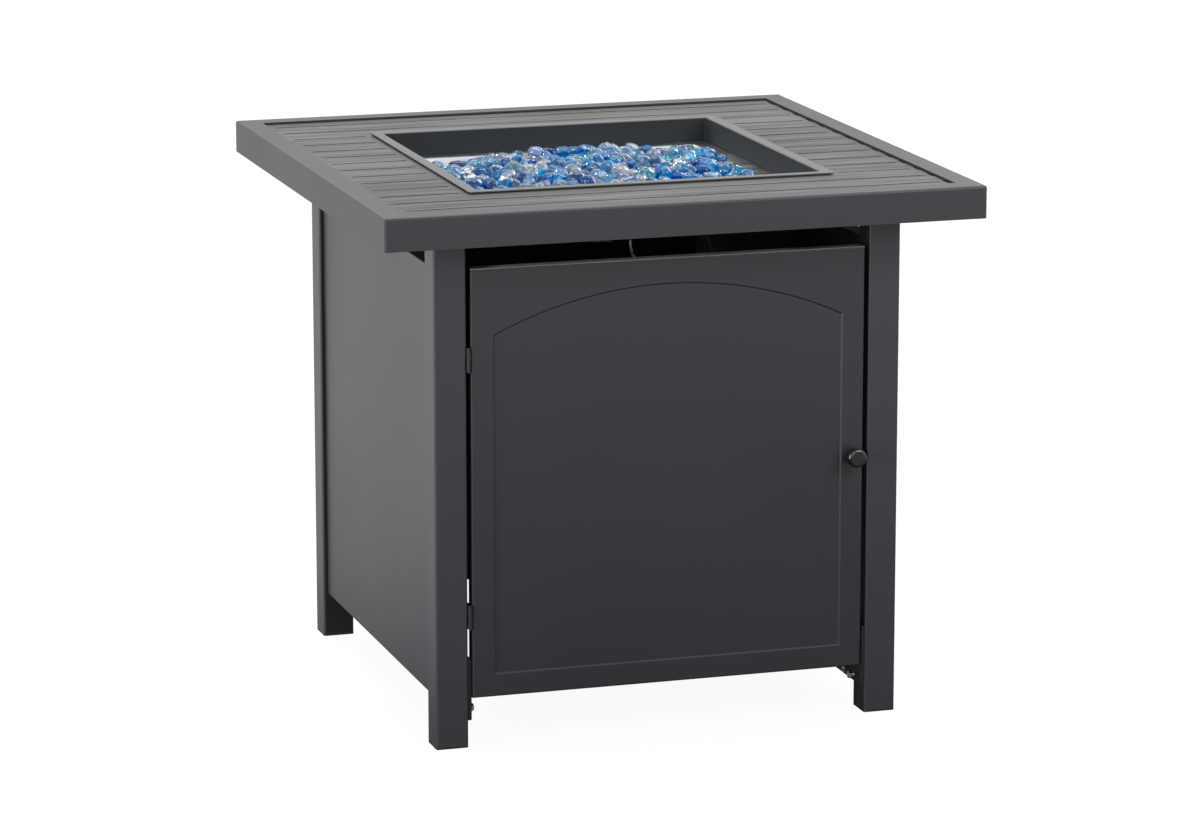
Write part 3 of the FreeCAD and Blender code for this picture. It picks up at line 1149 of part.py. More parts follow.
VALVE_FACE = f"({PANEL_FACE} - panel_metal)"
stem_bottom = "-stem_back - stem_room"
valve = turned("valve", [
    ("valve_bore", "0"), ("valve_radius", "0"), ("valve_radius", "-valve_length"), ("0", "-valve_length"),
    ("0", stem_bottom), ("stem_radius + bore_gap", stem_bottom),
    ("stem_radius + bore_gap", "-valve_bore_depth"), ("valve_bore", "-valve_bore_depth")])
ports = circle(sketch(valve, "YZ", "-port_reach"), "0", "-valve_port", "port_boss")
pad(valve, ports, "port_reach - valve_radius / 2")
ports = circle(sketch(valve, "YZ", "valve_radius / 2"), "0", "-valve_port", "port_boss")
pad(valve, ports, "port_reach - valve_radius / 2")
port_spot = ("0", "-valve_port")
drill(valve, "YZ", "-port_reach", [port_spot], "tube_radius + bore_gap", "tube_seat", reverse=True)
keep(place(valve, VALVE_FACE, VALVE_Y, CONTROL_Z, ALONG_X), "gas_valve")

valve_collar = turned("collar", [
    ("stem_radius + pin_gap", "0"), ("collar_radius", "0"), ("collar_radius", "-collar_thick"),
    ("stem_radius + pin_gap", "-collar_thick")])
keep(place(valve_collar, f"{VALVE_FACE} - collar_back", VALVE_Y, CONTROL_Z, ALONG_X), "valve_collar")

DIAL_BASE = f"({PLATE_FACE} + dial_stand)"
stem_front = "(panel_metal + plate_metal + dial_stand + stem_grip)"
stem = turned("stem", [
    ("0", "-stem_back"), ("stem_radius", "-stem_back"), ("stem_radius", stem_front), ("0", stem_front)])
flat = sketch(stem, "XY", stem_front)
rectangle(flat, "-stem_radius", "stem_flat", "stem_radius", "stem_radius")
pocket(stem, flat, "stem_grip")
keep(place(stem, VALVE_FACE, VALVE_Y, CONTROL_Z, ALONG_X), "valve_stem")

dial = turned("dial", [
    ("stem_radius + bore_gap", "0"), ("dial_radius", "0"), ("dial_radius", "dial_skirt"),
    ("dial_grip + 1", "dial_skirt + 2"), ("dial_grip", "dial_height - 2"), ("dial_grip - 2", "dial_height"),
    ("0", "dial_height"), ("0", "dial_bore"), ("stem_radius + bore_gap", "dial_bore")])
flute = circle(sketch(dial, "XY", "dial_height"), "dial_grip + flute_radius", "0", "flute_radius * 1.4")
flute_cut = pocket(dial, flute, "dial_height - 2 * dial_skirt")
repeat_round(dial, [flute_cut], flute, "dial_flutes")
pointer = sketch(dial, "XY", "dial_height")
rectangle(pointer, "4 - dial_grip", "-pointer_depth", "-dial_grip / 3", "pointer_depth")
pocket(dial, pointer, "pointer_depth")
keep(place(dial, DIAL_BASE, VALVE_Y, CONTROL_Z, ALONG_X), "gas_knob")

# Igniter with its nut and push button

barrel = turned("barrel", [
    ("button_radius + button_gap", "igniter_flange"), ("igniter_collar", "igniter_flange"),
    ("igniter_collar", "0"), ("igniter_radius", "0"), ("igniter_radius", "-igniter_length"),
    ("terminal_radius", "-igniter_length"), ("terminal_radius", "-igniter_length - terminal_length"),
    ("0", "-igniter_length - terminal_length"), ("0", "-button_well"),
    ("button_radius + button_gap", "-button_well")])
keep(place(barrel, PLATE_FACE, IGNITER_Y, CONTROL_Z, ALONG_X), "igniter_body")

igniter_nut = new_body("nut_of_igniter")
nut_profile = hexagon(sketch(igniter_nut), "igniter_nut_size")
circle(nut_profile, "0", "0", "igniter_radius + bore_gap")
pad(igniter_nut, nut_profile, "nut_height", reverse=True)
keep(place(igniter_nut, VALVE_FACE, IGNITER_Y, CONTROL_Z, ALONG_X), "igniter_nut")

button_front = "(igniter_flange + button_stand)"
button_back = f"{button_front} - button_length"
bevel = "button_radius / 6"
button = turned("button", [
    ("0", button_back), ("button_radius", button_back), ("button_radius", f"{button_front} - {bevel}"),
    (f"button_radius - {bevel}", button_front), ("0", button_front)])
keep(place(button, PLATE_FACE, IGNITER_Y, CONTROL_Z, ALONG_X), "igniter_button")

# Hose inlet under the valve, and the gas tube from the valve to the orifice

INLET_X = f"({VALVE_FACE} - valve_port)"
VALVE_FOOT = f"({CONTROL_Z} - port_reach)"
inlet = turned("inlet", [
    ("0", "0"), ("inlet_radius", "0"), ("inlet_radius", "inlet_thread_length - inlet_length"),
    ("inlet_thread", "inlet_thread_length - inlet_length"), ("inlet_thread", "-inlet_length"),
    ("inlet_bore", "-inlet_length"), ("inlet_bore", "inlet_bore_depth - inlet_length"),
    ("0", "inlet_bore_depth - inlet_length")])
hex_top = f"{BOX_BOTTOM} - {VALVE_FOOT} - inlet_hex_drop"
pad(inlet, hexagon(sketch(inlet, "XY", hex_top), "inlet_hex"), "inlet_hex_height", reverse=True)
keep(place(inlet, INLET_X, VALVE_Y, VALVE_FOOT), "hose_inlet")

tube_level = value(ELBOW_LEVEL)
tube_start = value(f"{ORIFICE_START} + orifice_length - tube_seat")
tube_end = value(f"{CONTROL_Z} + port_reach - tube_seat")
valve_x, valve_y = value(INLET_X), value(VALVE_Y)
box_back, tube_run = value(BOX_BACK), value("tube_run")
bent_tube("gas_tube", [
    (tube_start, 0, tube_level), (tube_start + tube_run, 0, tube_level),
    (box_back - tube_run, valve_y, tube_level), (valve_x, valve_y, tube_level),
    (valve_x, valve_y, tube_end)], value("tube_radius"), 3 * value("tube_radius"), value("tube_bend"))

# Leads from the electrode and the thermocouple to the control box, through hand-chosen points: their
# heights are over the level at which they enter the box, and an entry's points are from its grommet

probe_x, probe_y, probe_foot = value("probe_right"), -value("probe_front"), value(PROBE_BOTTOM)
level, control_z = value(LEAD_LEVEL), value(CONTROL_Z)
lead_radius = value("lead_radius")
terminal = value(f"{PLATE_FACE} - igniter_length - terminal_length")
one, two = value("lead_one"), value("lead_two")
first_route = [
    (32.3, -30, 49), (34.6, -29.5, 39.5), (41, -28, 28), (52, -24, 18), (67, -14, 9.5), (84, 4, 4.5),
    (100, 24, 2), (117, 43, 0.6), (134, 60, 0.2)]
first_entry = [(-24.6, -2.5, 0), (-8.6, 0, 0), (7.4, 0, 0), (18.4, -0.4, 2.6), (28.9, -1.4, 10.5)]
bent_tube("ignition_lead", [
    (probe_x, probe_y, probe_foot), (probe_x, probe_y, probe_foot - 15),
    *[(x, y, level + rise) for x, y, rise in first_route],
    *[(box_back + x, one + y, level + rise) for x, y, rise in first_entry],
    (terminal - 8, value(IGNITER_Y), control_z), (terminal, value(IGNITER_Y), control_z)],
    lead_radius, 6 * lead_radius)
second_x = probe_x + value("probe_spacing")
valve_rear = value(f"{VALVE_FACE} - valve_length")
second_route = [
    (49, -30.2, 66.5), (55.5, -30.6, 62.6), (64, -31, 61.4), (79, -31.4, 61.7), (98, -31.2, 62.6),
    (115, -30.6, 61.8), (126, -30.2, 58.2), (131.2, -29.9, 51), (134.5, -29.4, 40.5), (138, -28, 29),
    (142, -25, 17), (146.5, -17, 6), (149.5, -3, -2), (148.7, 17, -7), (147, 38, -9), (147, 58, -8.4)]
second_entry = [
    (-26.1, -19, -5.7), (-20.1, -7.5, -1.6), (-12.1, -1.2, 0), (-4.6, 0, 0), (6.4, 0.2, 0.2),
    (12.2, 3.1, 1.8), (17.2, 8.8, 4.6), (22.2, 15, 8), (27.6, 20.4, 10.8), (33.8, 23, 12)]
bent_tube("thermocouple_lead", [
    (second_x, probe_y, probe_foot), (second_x, probe_y, probe_foot - 6),
    *[(x, y, level + rise) for x, y, rise in second_route],
    *[(box_back + x, two + y, level + rise) for x, y, rise in second_entry],
    (valve_rear, two + 23, level + 12)],
    lead_radius, 6 * lead_radius)

grommet_edge, grommet_neck = "lead_hole + grommet_lip", "lead_hole - bore_gap"
grommet = turned("grommet", [
    ("lead_bore", "-grommet_lip"), (grommet_edge, "-grommet_lip"), (grommet_edge, "0"),
    (grommet_neck, "0"), (grommet_neck, "box_metal"), (grommet_edge, "box_metal"),
    (grommet_edge, "box_metal + grommet_lip"), ("lead_bore", "box_metal + grommet_lip")])
grommet_places = [(BOX_BACK, spot, LEAD_LEVEL, ALONG_X) for spot in ("lead_one", "lead_two")]
group("lead_grommets", grommet, grommet_places)


# Fire glass: a heap whose upper side is beads, each a four-sided frustum on the crowned surface

def glass_height(along, across, half):
    """Height of the heap over the pan floor, falling off along both axes."""
    crown = value("glass_crown")
    return value("glass_edge") + crown * (2 - (along / half) ** 2 - (across / half) ** 2)


def polygon(points):
    return Part.Face(Part.makePolygon(points + [points[0]]))


def glass_bed():
    half, cells = value("glass_half"), int(value("glass_cells"))
    bump = value("glass_bump")
    step = 2 * half / cells
    edge = [-half + step * i for i in range(cells + 1)]
    corner = [[V(x, y, glass_height(x, y, half)) for y in edge] for x in edge]
    faces = []
    for i in range(cells):
        for j in range(cells):
            ring = [corner[i][j], corner[i + 1][j], corner[i + 1][j + 1], corner[i][j + 1]]
            middle = (ring[0] + ring[2]) * 0.5
            size = 0.5 + 0.12 * math.sin(2.3 * i + 1.7 * j)
            shift = V(math.sin(3.1 * i + j), math.cos(1.9 * j - i), 0) * step * 0.07
            lift = shift + V(0, 0, bump * (0.75 + 0.25 * math.sin(1.3 * i - 2.9 * j)))
            top = [middle + (point - middle) * size + lift for point in ring]
            faces.append(polygon(top))
            for k in range(4):
                after = (k + 1) % 4
                faces.append(polygon([ring[k], ring[after], top[after], top[k]]))
    for run in ([c[0] for c in corner], [c[-1] for c in corner], corner[0], corner[-1]):
        foot = [V(run[-1].x, run[-1].y, 0), V(run[0].x, run[0].y, 0)]
        faces.append(polygon(list(run) + foot))
    faces.append(polygon([V(-half, -half, 0), V(half, -half, 0), V(half, half, 0), V(-half, half, 0)]))
    solid = Part.makeSolid(Part.makeShell(faces))
    if solid.Volume < 0:
        solid.reverse()
    return solid


def burner_room():
    """The space of the burner, its riser and the probes inside the bed."""
    gap = value("glass_gap")
    pipe, ring = value("burner_pipe") + gap, value("burner_radius")
    top = value("burner_lift") + 2 * pipe
    room = Part.makeCylinder(ring + pipe, top).cut(Part.makeCylinder(ring - pipe, top))
    room = room.fuse(Part.makeBox(2 * ring, 2 * pipe, top, V(-ring, -pipe, 0)))
    room = room.fuse(Part.makeCylinder(value("burner_hub") + gap, top))
    probe_top = value("probe_length - probe_drop") + gap
    for x, y in probe_spots:
        room = room.fuse(Part.makeCylinder(value("probe_radius") + gap, probe_top, V(value(x), value(y), 0)))
    return room


bed = doc.addObject("Part::Feature", "bed")
bed.Shape = glass_bed().cut(burner_room())
keep(place(bed, z=f"{PAN_FLOOR} + slide_gap"), "fire_glass_bed")

# Check every object and write the sub-parts

doc.recompute()
for item in doc.Objects:
    if "Invalid" in item.State or "Error" in item.State:
        raise ValueError(f"{item.Label}: {item.State}")
os.makedirs("parts", exist_ok=True)
for node in nodes:
    if node.Shape.isNull() or not node.Shape.isValid() or not node.Shape.Solids:
        raise ValueError(f"{node.Label}: no valid solid")
for node in nodes:
    node.Shape.exportStep(f"parts/{node.Label}.step")
print(len(nodes), "nodes")
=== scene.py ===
import math
import random

import bmesh
import bpy
import numpy as np
from mathutils import Matrix, Vector, noise


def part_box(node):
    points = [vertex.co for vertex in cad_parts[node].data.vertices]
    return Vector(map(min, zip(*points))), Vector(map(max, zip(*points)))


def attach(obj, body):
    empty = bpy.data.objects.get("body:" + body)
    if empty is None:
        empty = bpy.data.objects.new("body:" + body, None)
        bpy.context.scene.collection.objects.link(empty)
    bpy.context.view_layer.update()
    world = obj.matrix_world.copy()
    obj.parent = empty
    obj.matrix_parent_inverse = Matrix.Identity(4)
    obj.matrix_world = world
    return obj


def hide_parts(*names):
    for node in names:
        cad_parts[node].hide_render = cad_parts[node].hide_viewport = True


# The looks of the gas fire pit table round its fixed frame. Metres, the frame's own axes: +Z up, the door
# faces -Y. The frame's pieces keep their shapes and get their finishes here; the glass and the small
# fasteners are modelled again with their own detail.

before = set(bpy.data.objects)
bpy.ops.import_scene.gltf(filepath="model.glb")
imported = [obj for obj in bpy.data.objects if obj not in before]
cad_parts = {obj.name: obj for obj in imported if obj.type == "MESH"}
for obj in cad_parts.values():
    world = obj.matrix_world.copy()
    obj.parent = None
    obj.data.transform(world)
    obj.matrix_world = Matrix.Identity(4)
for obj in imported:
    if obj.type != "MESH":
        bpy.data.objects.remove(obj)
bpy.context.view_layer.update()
MM = 0.001


# Node expressions

class Value:
    """One output of a node tree, with Python's arithmetic written as Math nodes."""

    def __init__(self, finish, socket):
        self.finish = finish
        self.socket = socket

    def math(self, operation, *operands):
        return self.finish.node("ShaderNodeMath", {"operation": operation}, dict(enumerate(operands)))

    def __add__(self, other):
        return self.math("ADD", self, other)

    def __radd__(self, other):
        return self.math("ADD", other, self)

    def __sub__(self, other):
        return self.math("SUBTRACT", self, other)

    def __rsub__(self, other):
        return self.math("SUBTRACT", other, self)

    def __mul__(self, other):
        return self.math("MULTIPLY", self, other)

    def __rmul__(self, other):
        return self.math("MULTIPLY", other, self)

    def __lt__(self, other):
        return self.math("LESS_THAN", self, other)

    def __gt__(self, other):
        return self.math("GREATER_THAN", self, other)

    def size(self):
        return self.math("ABSOLUTE", self)

    def or_larger(self, other):
        return self.math("MAXIMUM", self, other)

    def clipped(self):
        return self.finish.node("ShaderNodeClamp", {}, {"Value": self})


class Finish:
    """A node tree that is written as expressions: a material's, or the world's."""

    def __init__(self, name, owner=None):
        self.owner = owner or bpy.data.materials.new(name)
        self.owner.use_nodes = True
        self.tree = self.owner.node_tree
        self.tree.nodes.clear()

    def node(self, kind, settings, values, output=0):
        """Add a node, give it its settings, then the values or links of its sockets."""
        made = self.tree.nodes.new(kind)
        for name, setting in settings.items():
            if name == "stops":
                ramp = made.color_ramp.elements
                while len(ramp) < len(setting):
                    ramp.new(1.0)
                for stop, (position, colour) in zip(ramp, setting):
                    stop.position = position
                    stop.color = (*colour, 1.0)
            else:
                setattr(made, name, setting)
        for name, value in values.items():
            socket = made.inputs[name]
            if isinstance(value, Value):
                self.tree.links.new(value.socket, socket)
            elif socket.type == "RGBA" and len(value) == 3:
                socket.default_value = (*value, 1.0)
            else:
                socket.default_value = value
        return Value(self, made.outputs[output]) if len(made.outputs) else made

    def place(self, scale=(1, 1, 1)):
        """A point of the piece itself, in metres, with each axis scaled."""
        point = self.node("ShaderNodeTexCoord", {}, {}, "Object")
        settings = {"operation": "MULTIPLY"}
        return self.node("ShaderNodeVectorMath", settings, {0: point, 1: scale}, "Vector")

    def axis(self, name):
        """One coordinate of the piece's own place, in metres."""
        return self.node("ShaderNodeSeparateXYZ", {}, {"Vector": self.place()}, name)

    def distance(self, point, other):
        settings = {"operation": "DISTANCE"}
        return self.node("ShaderNodeVectorMath", settings, {0: point, 1: other}, "Value")

    def under(self, reach, top):
        """1 below top where X and Y are both nearer to the middle than reach, 0 elsewhere."""
        return (self.axis("X").size() < reach) * (self.axis("Y").size() < reach) * (self.axis("Z") < top)

    def facing_in(self, reach):
        """1 where X or Y is nearer to the middle than reach, 0 elsewhere."""
        return ((self.axis("X").size() < reach) + (self.axis("Y").size() < reach)).clipped()

    def noise(self, scale, detail=2.0, stretch=(1, 1, 1), roughness=0.5):
        values = {"Vector": self.place(stretch), "Scale": scale, "Detail": detail, "Roughness": roughness}
        return self.node("ShaderNodeTexNoise", {}, values, "Fac")

    def ramp(self, value, stops):
        return self.node("ShaderNodeValToRGB", {"stops": stops}, {"Fac": value}, "Color")

    def blend(self, factor, first, second, kind="MIX"):
        """A mix of two colours, or their product where kind is MULTIPLY."""
        settings = {"data_type": "RGBA", "blend_type": kind}
        return self.node("ShaderNodeMix", settings, {0: factor, 6: first, 7: second}, 2)

    def bump(self, height, depth):
        return self.node("ShaderNodeBump", {}, {"Height": height, "Distance": depth})

    def surface(self, shader):
        kind = "World" if isinstance(self.owner, bpy.types.World) else "Material"
        self.node(f"ShaderNodeOutput{kind}", {}, {"Surface": shader})
        return self.owner

    def principled(self, **values):
        """Finish with one Principled shader; names have their spaces as underscores."""
        named = {name.replace("_", " "): value for name, value in values.items()}
        return self.surface(self.node("ShaderNodeBsdfPrincipled", {}, named))


def shade(colour, factor):
    return tuple(min(1.0, channel * factor) for channel in colour)


# Places on the frame where a finish changes, most of them where painted shade or a painted highlight starts;
# ANYWHERE is past every piece

ANYWHERE = 1.0
PLATE = 1.2 * MM
RIM_SHEET = 1.5 * MM
RIM_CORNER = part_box("tabletop_rim")[1]
BOWL_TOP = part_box("fire_bowl")[1].z
SEAT_RISE = 1.5 * MM
SLAT_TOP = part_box("slat_panel")[1].z - SEAT_RISE
GROOVE_DEPTH = 0.7 * MM
LEG_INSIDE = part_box("leg_front_right")[0].x + 0.4 * MM
PANEL_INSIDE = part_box("side_panel_right")[1].x - 0.5 * MM
DOOR_EDGE_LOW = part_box("door")[1].z - 0.9 * MM
DOOR_EDGE_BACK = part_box("door")[0].y + 1.6 * MM

# The pan's inner walls: how far out they start, and how far they lean out for each metre up
PAN_LOW, PAN_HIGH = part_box("burner_pan")
PAN_FOOT = 181.2 * MM
PAN_LEAN = 0.086
# Below this height the pan's foot is painted dark: painted shade
PAN_FOOT_SHADE_TOP = PAN_LOW.z + 8 * MM

# The pointer is pressed into the knob's outer face, which looks along +X
KNOB_LOW, KNOB_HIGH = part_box("gas_knob")
POINTER_TOP = KNOB_HIGH.x - 0.35 * MM
POINTER_FLOOR = KNOB_HIGH.x - 0.8 * MM
POINTER_REACH = 14.5 * MM


def rim_painted_shade(coat):
    """1 on the faces of the rim that lie behind its sheet, which get near-black painted shade."""
    return coat.under(RIM_CORNER.x - 1.05 * RIM_SHEET, RIM_CORNER.z - 0.95 * RIM_SHEET)


# Painted shade: the faces of the legs that look inwards get the near-black second colour
def legs_painted_shade(coat):
    return coat.facing_in(LEG_INSIDE)


# Painted shade: the panels' inner faces get the near-black second colour
def panels_painted_shade(coat):
    return coat.under(PANEL_INSIDE, ANYWHERE)


# Painted shade: all of the bowl below the top of its flange gets BOWL_SHADE
def bowl_painted_shade(coat):
    return coat.under(ANYWHERE, BOWL_TOP - PLATE)


def door_painted_highlight(coat):
    """1 on the narrow front part of the door's top edge, which gets a pale painted highlight."""
    return (coat.axis("Z") > DOOR_EDGE_LOW) * (coat.axis("Y") < DOOR_EDGE_BACK)


def pan_painted_reflection(steel):
    """1 on the inner faces of the pan, whose walls lean out as they rise, 0 on its ledge and outside: where
    the pan is painted pale as a reflection of bright light.
    """
    across = steel.axis("X").size().or_larger(steel.axis("Y").size())
    wall = (steel.axis("Z") - PAN_LOW.z) * PAN_LEAN + PAN_FOOT
    return (across < wall) * (steel.axis("Z") < PAN_HIGH.z - PLATE)


def pointer(plastic):
    """1 in the pressed pointer on the gas knob's face, 0 on the rest of the knob."""
    middle = (KNOB_LOW + KNOB_HIGH) / 2
    away = plastic.distance(plastic.place((0, 1, 1)), (0, middle.y, middle.z))
    sunk = (plastic.axis("X") < POINTER_TOP) * (plastic.axis("X") > POINTER_FLOOR)
    return sunk * (away < POINTER_REACH)


# Finishes

CHARCOAL = (0.040, 0.043, 0.049)
# Near-black painted shade for faces inside the frame, in place of the charcoal coat
PAINTED_SHADE = (0.011, 0.011, 0.012)
# A pale painted highlight along the door's top edge
DOOR_EDGE_PAINTED_HIGHLIGHT = (0.50, 0.51, 0.52)
BOWL_SHADE = (0.018, 0.022, 0.027)
# A pale painted reflection inside the pan, and painted shade at its foot
PAN_PAINTED_REFLECTION = (0.93, 0.93, 0.91)
PAN_FOOT_SHADE = (0.03, 0.03, 0.03)
POINTER_PAINT = (0.74, 0.74, 0.71)
BLACK_PLASTIC = (0.014, 0.014, 0.015)


def powder_coat(name, colour, roughness=0.42, peel=0.05, gloss=0.4, second=PAINTED_SHADE, where=None):
    """Semi-matte powder coat: a fine orange peel, a faint speckle and slow changes of tone.

    Where the mask that where gives is 1, a second colour shows, matt, in place of the first: near-black
    painted shade, or a pale painted highlight.
    """
    coat = Finish(name)
    peel_height = coat.noise(700)
    speckle = coat.noise(5200, detail=1.0)
    cloud = coat.noise(6, detail=3.0)
    tone = coat.blend(cloud, shade(colour, 0.93), shade(colour, 1.07))
    grain = (speckle * 0.24 + 0.88).clipped()
    tinted = coat.blend(1.0, tone, coat.ramp(grain, [(0.8, (0.8, 0.8, 0.8)), (1.0, (1, 1, 1))]), "MULTIPLY")
    rough = cloud * 0.08 + (roughness - 0.04)
    if where:
        mask = where(coat)
        tinted = coat.blend(mask, tinted, second)
        rough = (mask * 0.3 + rough).clipped()
    return coat.principled(Base_Color=tinted, Roughness=rough, Specular_IOR_Level=gloss,
                           Normal=coat.bump(peel_height, peel * MM))


def grained_coat(name, colour):
    """The slats' coat: the same paint over a long brushed grain along X, with painted shade in the grooves.
    """
    coat = Finish(name)
    fine = coat.noise(300, detail=3.0, stretch=(0.03, 1, 1), roughness=0.6)
    streak = coat.noise(95, detail=3.0, stretch=(0.06, 1, 1), roughness=0.65)
    cloud = coat.noise(7, detail=3.0, stretch=(0.4, 1, 1))
    lines = (fine * 0.3 + streak * 0.5 + cloud * 0.2).clipped()
    tone = coat.ramp(lines, [(0.36, shade(colour, 0.6)), (0.5, colour), (0.64, shade(colour, 1.5))])
    # Painted shade: below the slats' top the grooves turn nearly black
    sunk = ((SLAT_TOP - coat.axis("Z")) * (1 / GROOVE_DEPTH)).clipped()
    tone = coat.blend(sunk, tone, shade(colour, 0.12))
    rough = (lines - 0.5) * -1.1 + sunk * 0.4 + 0.45
    return coat.principled(Base_Color=tone, Roughness=rough.clipped(), Specular_IOR_Level=0.26,
                           Normal=coat.bump(fine, 0.09 * MM))


def brushed_steel(name, colour, along, roughness, satin=None):
    """Bare sheet with a drawn grain; along stretches the grain's lines.

    With a reflection mask, the steel is paler and duller where it is 1, a painted reflection of bright
    light, and dark at its foot with painted shade.
    """
    steel = Finish(name)
    lines = steel.noise(900, detail=3.0, stretch=along)
    cloud = steel.noise(14, detail=3.0)
    tone = steel.ramp((lines * 0.65 + cloud * 0.35).clipped(),
                      [(0.3, shade(colour, 0.82)), (0.7, shade(colour, 1.12))])
    rough = lines * 0.16 + cloud * 0.1 + (roughness - 0.13)
    if satin:
        # Painted reflection where the mask is 1, and painted shade at the pan's foot
        pale = satin(steel)
        tone = steel.blend(pale, tone, PAN_PAINTED_REFLECTION)
        tone = steel.blend(steel.axis("Z") < PAN_FOOT_SHADE_TOP, tone, PAN_FOOT_SHADE)
        rough = pale * 0.32 + rough
    return steel.principled(Base_Color=tone, Metallic=1.0, Roughness=rough,
                            Normal=steel.bump(lines, 0.02 * MM))


def plated(name, colour, roughness):
    """Plated or turned metal: soft clouds in its tone and gloss, and fine tool marks."""
    metal = Finish(name)
    cloud = metal.noise(180, detail=3.0)
    marks = metal.noise(2600)
    tone = metal.ramp(cloud, [(0.35, shade(colour, 0.8)), (0.65, shade(colour, 1.1))])
    rough = cloud * 0.22 + (roughness - 0.11)
    return metal.principled(Base_Color=tone, Metallic=1.0, Roughness=rough,
                            Normal=metal.bump(marks, 0.012 * MM))


def moulded(name, colour, roughness=0.5, texture=0.04, filled=None):
    """Moulded plastic or rubber with a fine spark texture; white paint where the mask of filled is 1."""
    plastic = Finish(name)
    spark = plastic.noise(2400)
    cloud = plastic.noise(40)
    tone = plastic.blend(cloud, shade(colour, 0.85), shade(colour, 1.2))
    if filled:
        tone = plastic.blend(filled(plastic), tone, POINTER_PAINT)
    rough = spark * 0.12 + cloud * 0.08 + (roughness - 0.1)
    return plastic.principled(Base_Color=tone, Roughness=rough, Normal=plastic.bump(spark, texture * MM))


def sleeve(name, colour, dark, metal=0.0, roughness=0.75):
    """A lead's woven sleeve: two sets of fine threads, of glass or of steel, crossing round it."""
    cloth = Finish(name)
    settings = {"wave_type": "BANDS", "bands_direction": "DIAGONAL"}
    threads = [cloth.node("ShaderNodeTexWave", settings,
                          {"Vector": cloth.place(way), "Scale": 420.0, "Distortion": 0.4}, "Fac") * 0.5
               for way in ((1, 1, 1), (-1, 1, -1))]
    weave = threads[0] + threads[1]
    return cloth.principled(Base_Color=cloth.blend(weave, dark, colour), Metallic=metal, Roughness=roughness,
                            Normal=cloth.bump(weave, 0.12 * MM))


def glazed_ceramic(name, colour):
    """White insulator with a thin glossy glaze."""
    body = Finish(name)
    cloud = body.noise(90, detail=3.0)
    tone = body.blend(cloud, shade(colour, 0.9), colour)
    return body.principled(Base_Color=tone, Roughness=cloud * 0.15 + 0.12)


def poured_glass(name, light, deep, clear):
    """Fire glass: tinted through its body, with a darker heart in some of the pieces."""
    glass = Finish(name)
    tone = glass.ramp(glass.noise(75), [(0.40, deep), (0.58, light)])
    waves = glass.bump(glass.noise(130, detail=1.0), 2.2 * MM)
    return glass.principled(Base_Color=tone, Roughness=0.03, IOR=1.5, Transmission_Weight=clear,
                            Specular_IOR_Level=0.12, Normal=waves)


COATS = {
    # The rim, legs, panels and door share one charcoal paint: the legs' lighter copy and the darker copies
    # on the rim and door are painted light and shade
    "rim": powder_coat("charcoal coat of the rim", shade(CHARCOAL, 0.91), where=rim_painted_shade),
    "slats": grained_coat("charcoal coat of the slats", (0.073, 0.074, 0.074)),
    "legs": powder_coat("charcoal coat of the legs", shade(CHARCOAL, 1.22), roughness=0.4,
                        where=legs_painted_shade),
    "panels": powder_coat("charcoal coat of the panels", CHARCOAL, roughness=0.4, where=panels_painted_shade),
    "door": powder_coat("charcoal coat of the door", shade(CHARCOAL, 0.9), roughness=0.4,
                        second=DOOR_EDGE_PAINTED_HIGHLIGHT, where=door_painted_highlight),
    "bowl": powder_coat("charcoal coat of the bowl", (0.115, 0.116, 0.115),
                        second=BOWL_SHADE, where=bowl_painted_shade),
    "hinge": powder_coat("coat of the hinges", (0.028, 0.029, 0.031), roughness=0.38),
    "box": powder_coat("coat of the control box", (0.05, 0.05, 0.052), roughness=0.5),
    "black": powder_coat("black coat", (0.010, 0.010, 0.011), roughness=0.45),
    "knob": powder_coat("coat of the door knob", (0.008, 0.008, 0.009), roughness=0.13, peel=0.015,
                        gloss=0.8),
    "stainless": brushed_steel("stainless sheet", (0.60, 0.60, 0.59), along=(1, 0.04, 1), roughness=0.36),
    "pan": brushed_steel("stainless sheet of the pan", (0.58, 0.59, 0.58), along=(0.04, 0.04, 1),
                         roughness=0.25, satin=pan_painted_reflection),
    "zinc": plated("zinc plate", (0.80, 0.80, 0.78), roughness=0.28),
    "brass": plated("turned brass", (0.72, 0.53, 0.26), roughness=0.26),
    "tube": plated("drawn tube", (0.62, 0.62, 0.62), roughness=0.24),
    "probe": plated("steel of the probes", (0.46, 0.45, 0.43), roughness=0.34),
    "plastic": moulded("black plastic", BLACK_PLASTIC),
    "dial": moulded("plastic of the gas knob", BLACK_PLASTIC, roughness=0.4, filled=pointer),
    "button": moulded("button plastic", (0.018, 0.018, 0.02), roughness=0.28, texture=0.01),
    "rubber": moulded("black rubber", (0.012, 0.012, 0.012), roughness=0.7, texture=0.07),
    "magnet": moulded("case of the catch", (0.03, 0.03, 0.03), roughness=0.55),
    # Its threads are whiter than bare steel: painted light on a lead that sits in shade
    "light sleeve": sleeve("light sleeve", (1.0, 1.0, 0.97), (0.9, 0.9, 0.87), metal=1.0, roughness=0.4),
    "dark sleeve": sleeve("dark sleeve", (0.24, 0.24, 0.25), (0.13, 0.13, 0.14)),
    "ceramic": glazed_ceramic("white ceramic", (0.78, 0.76, 0.71)),
}

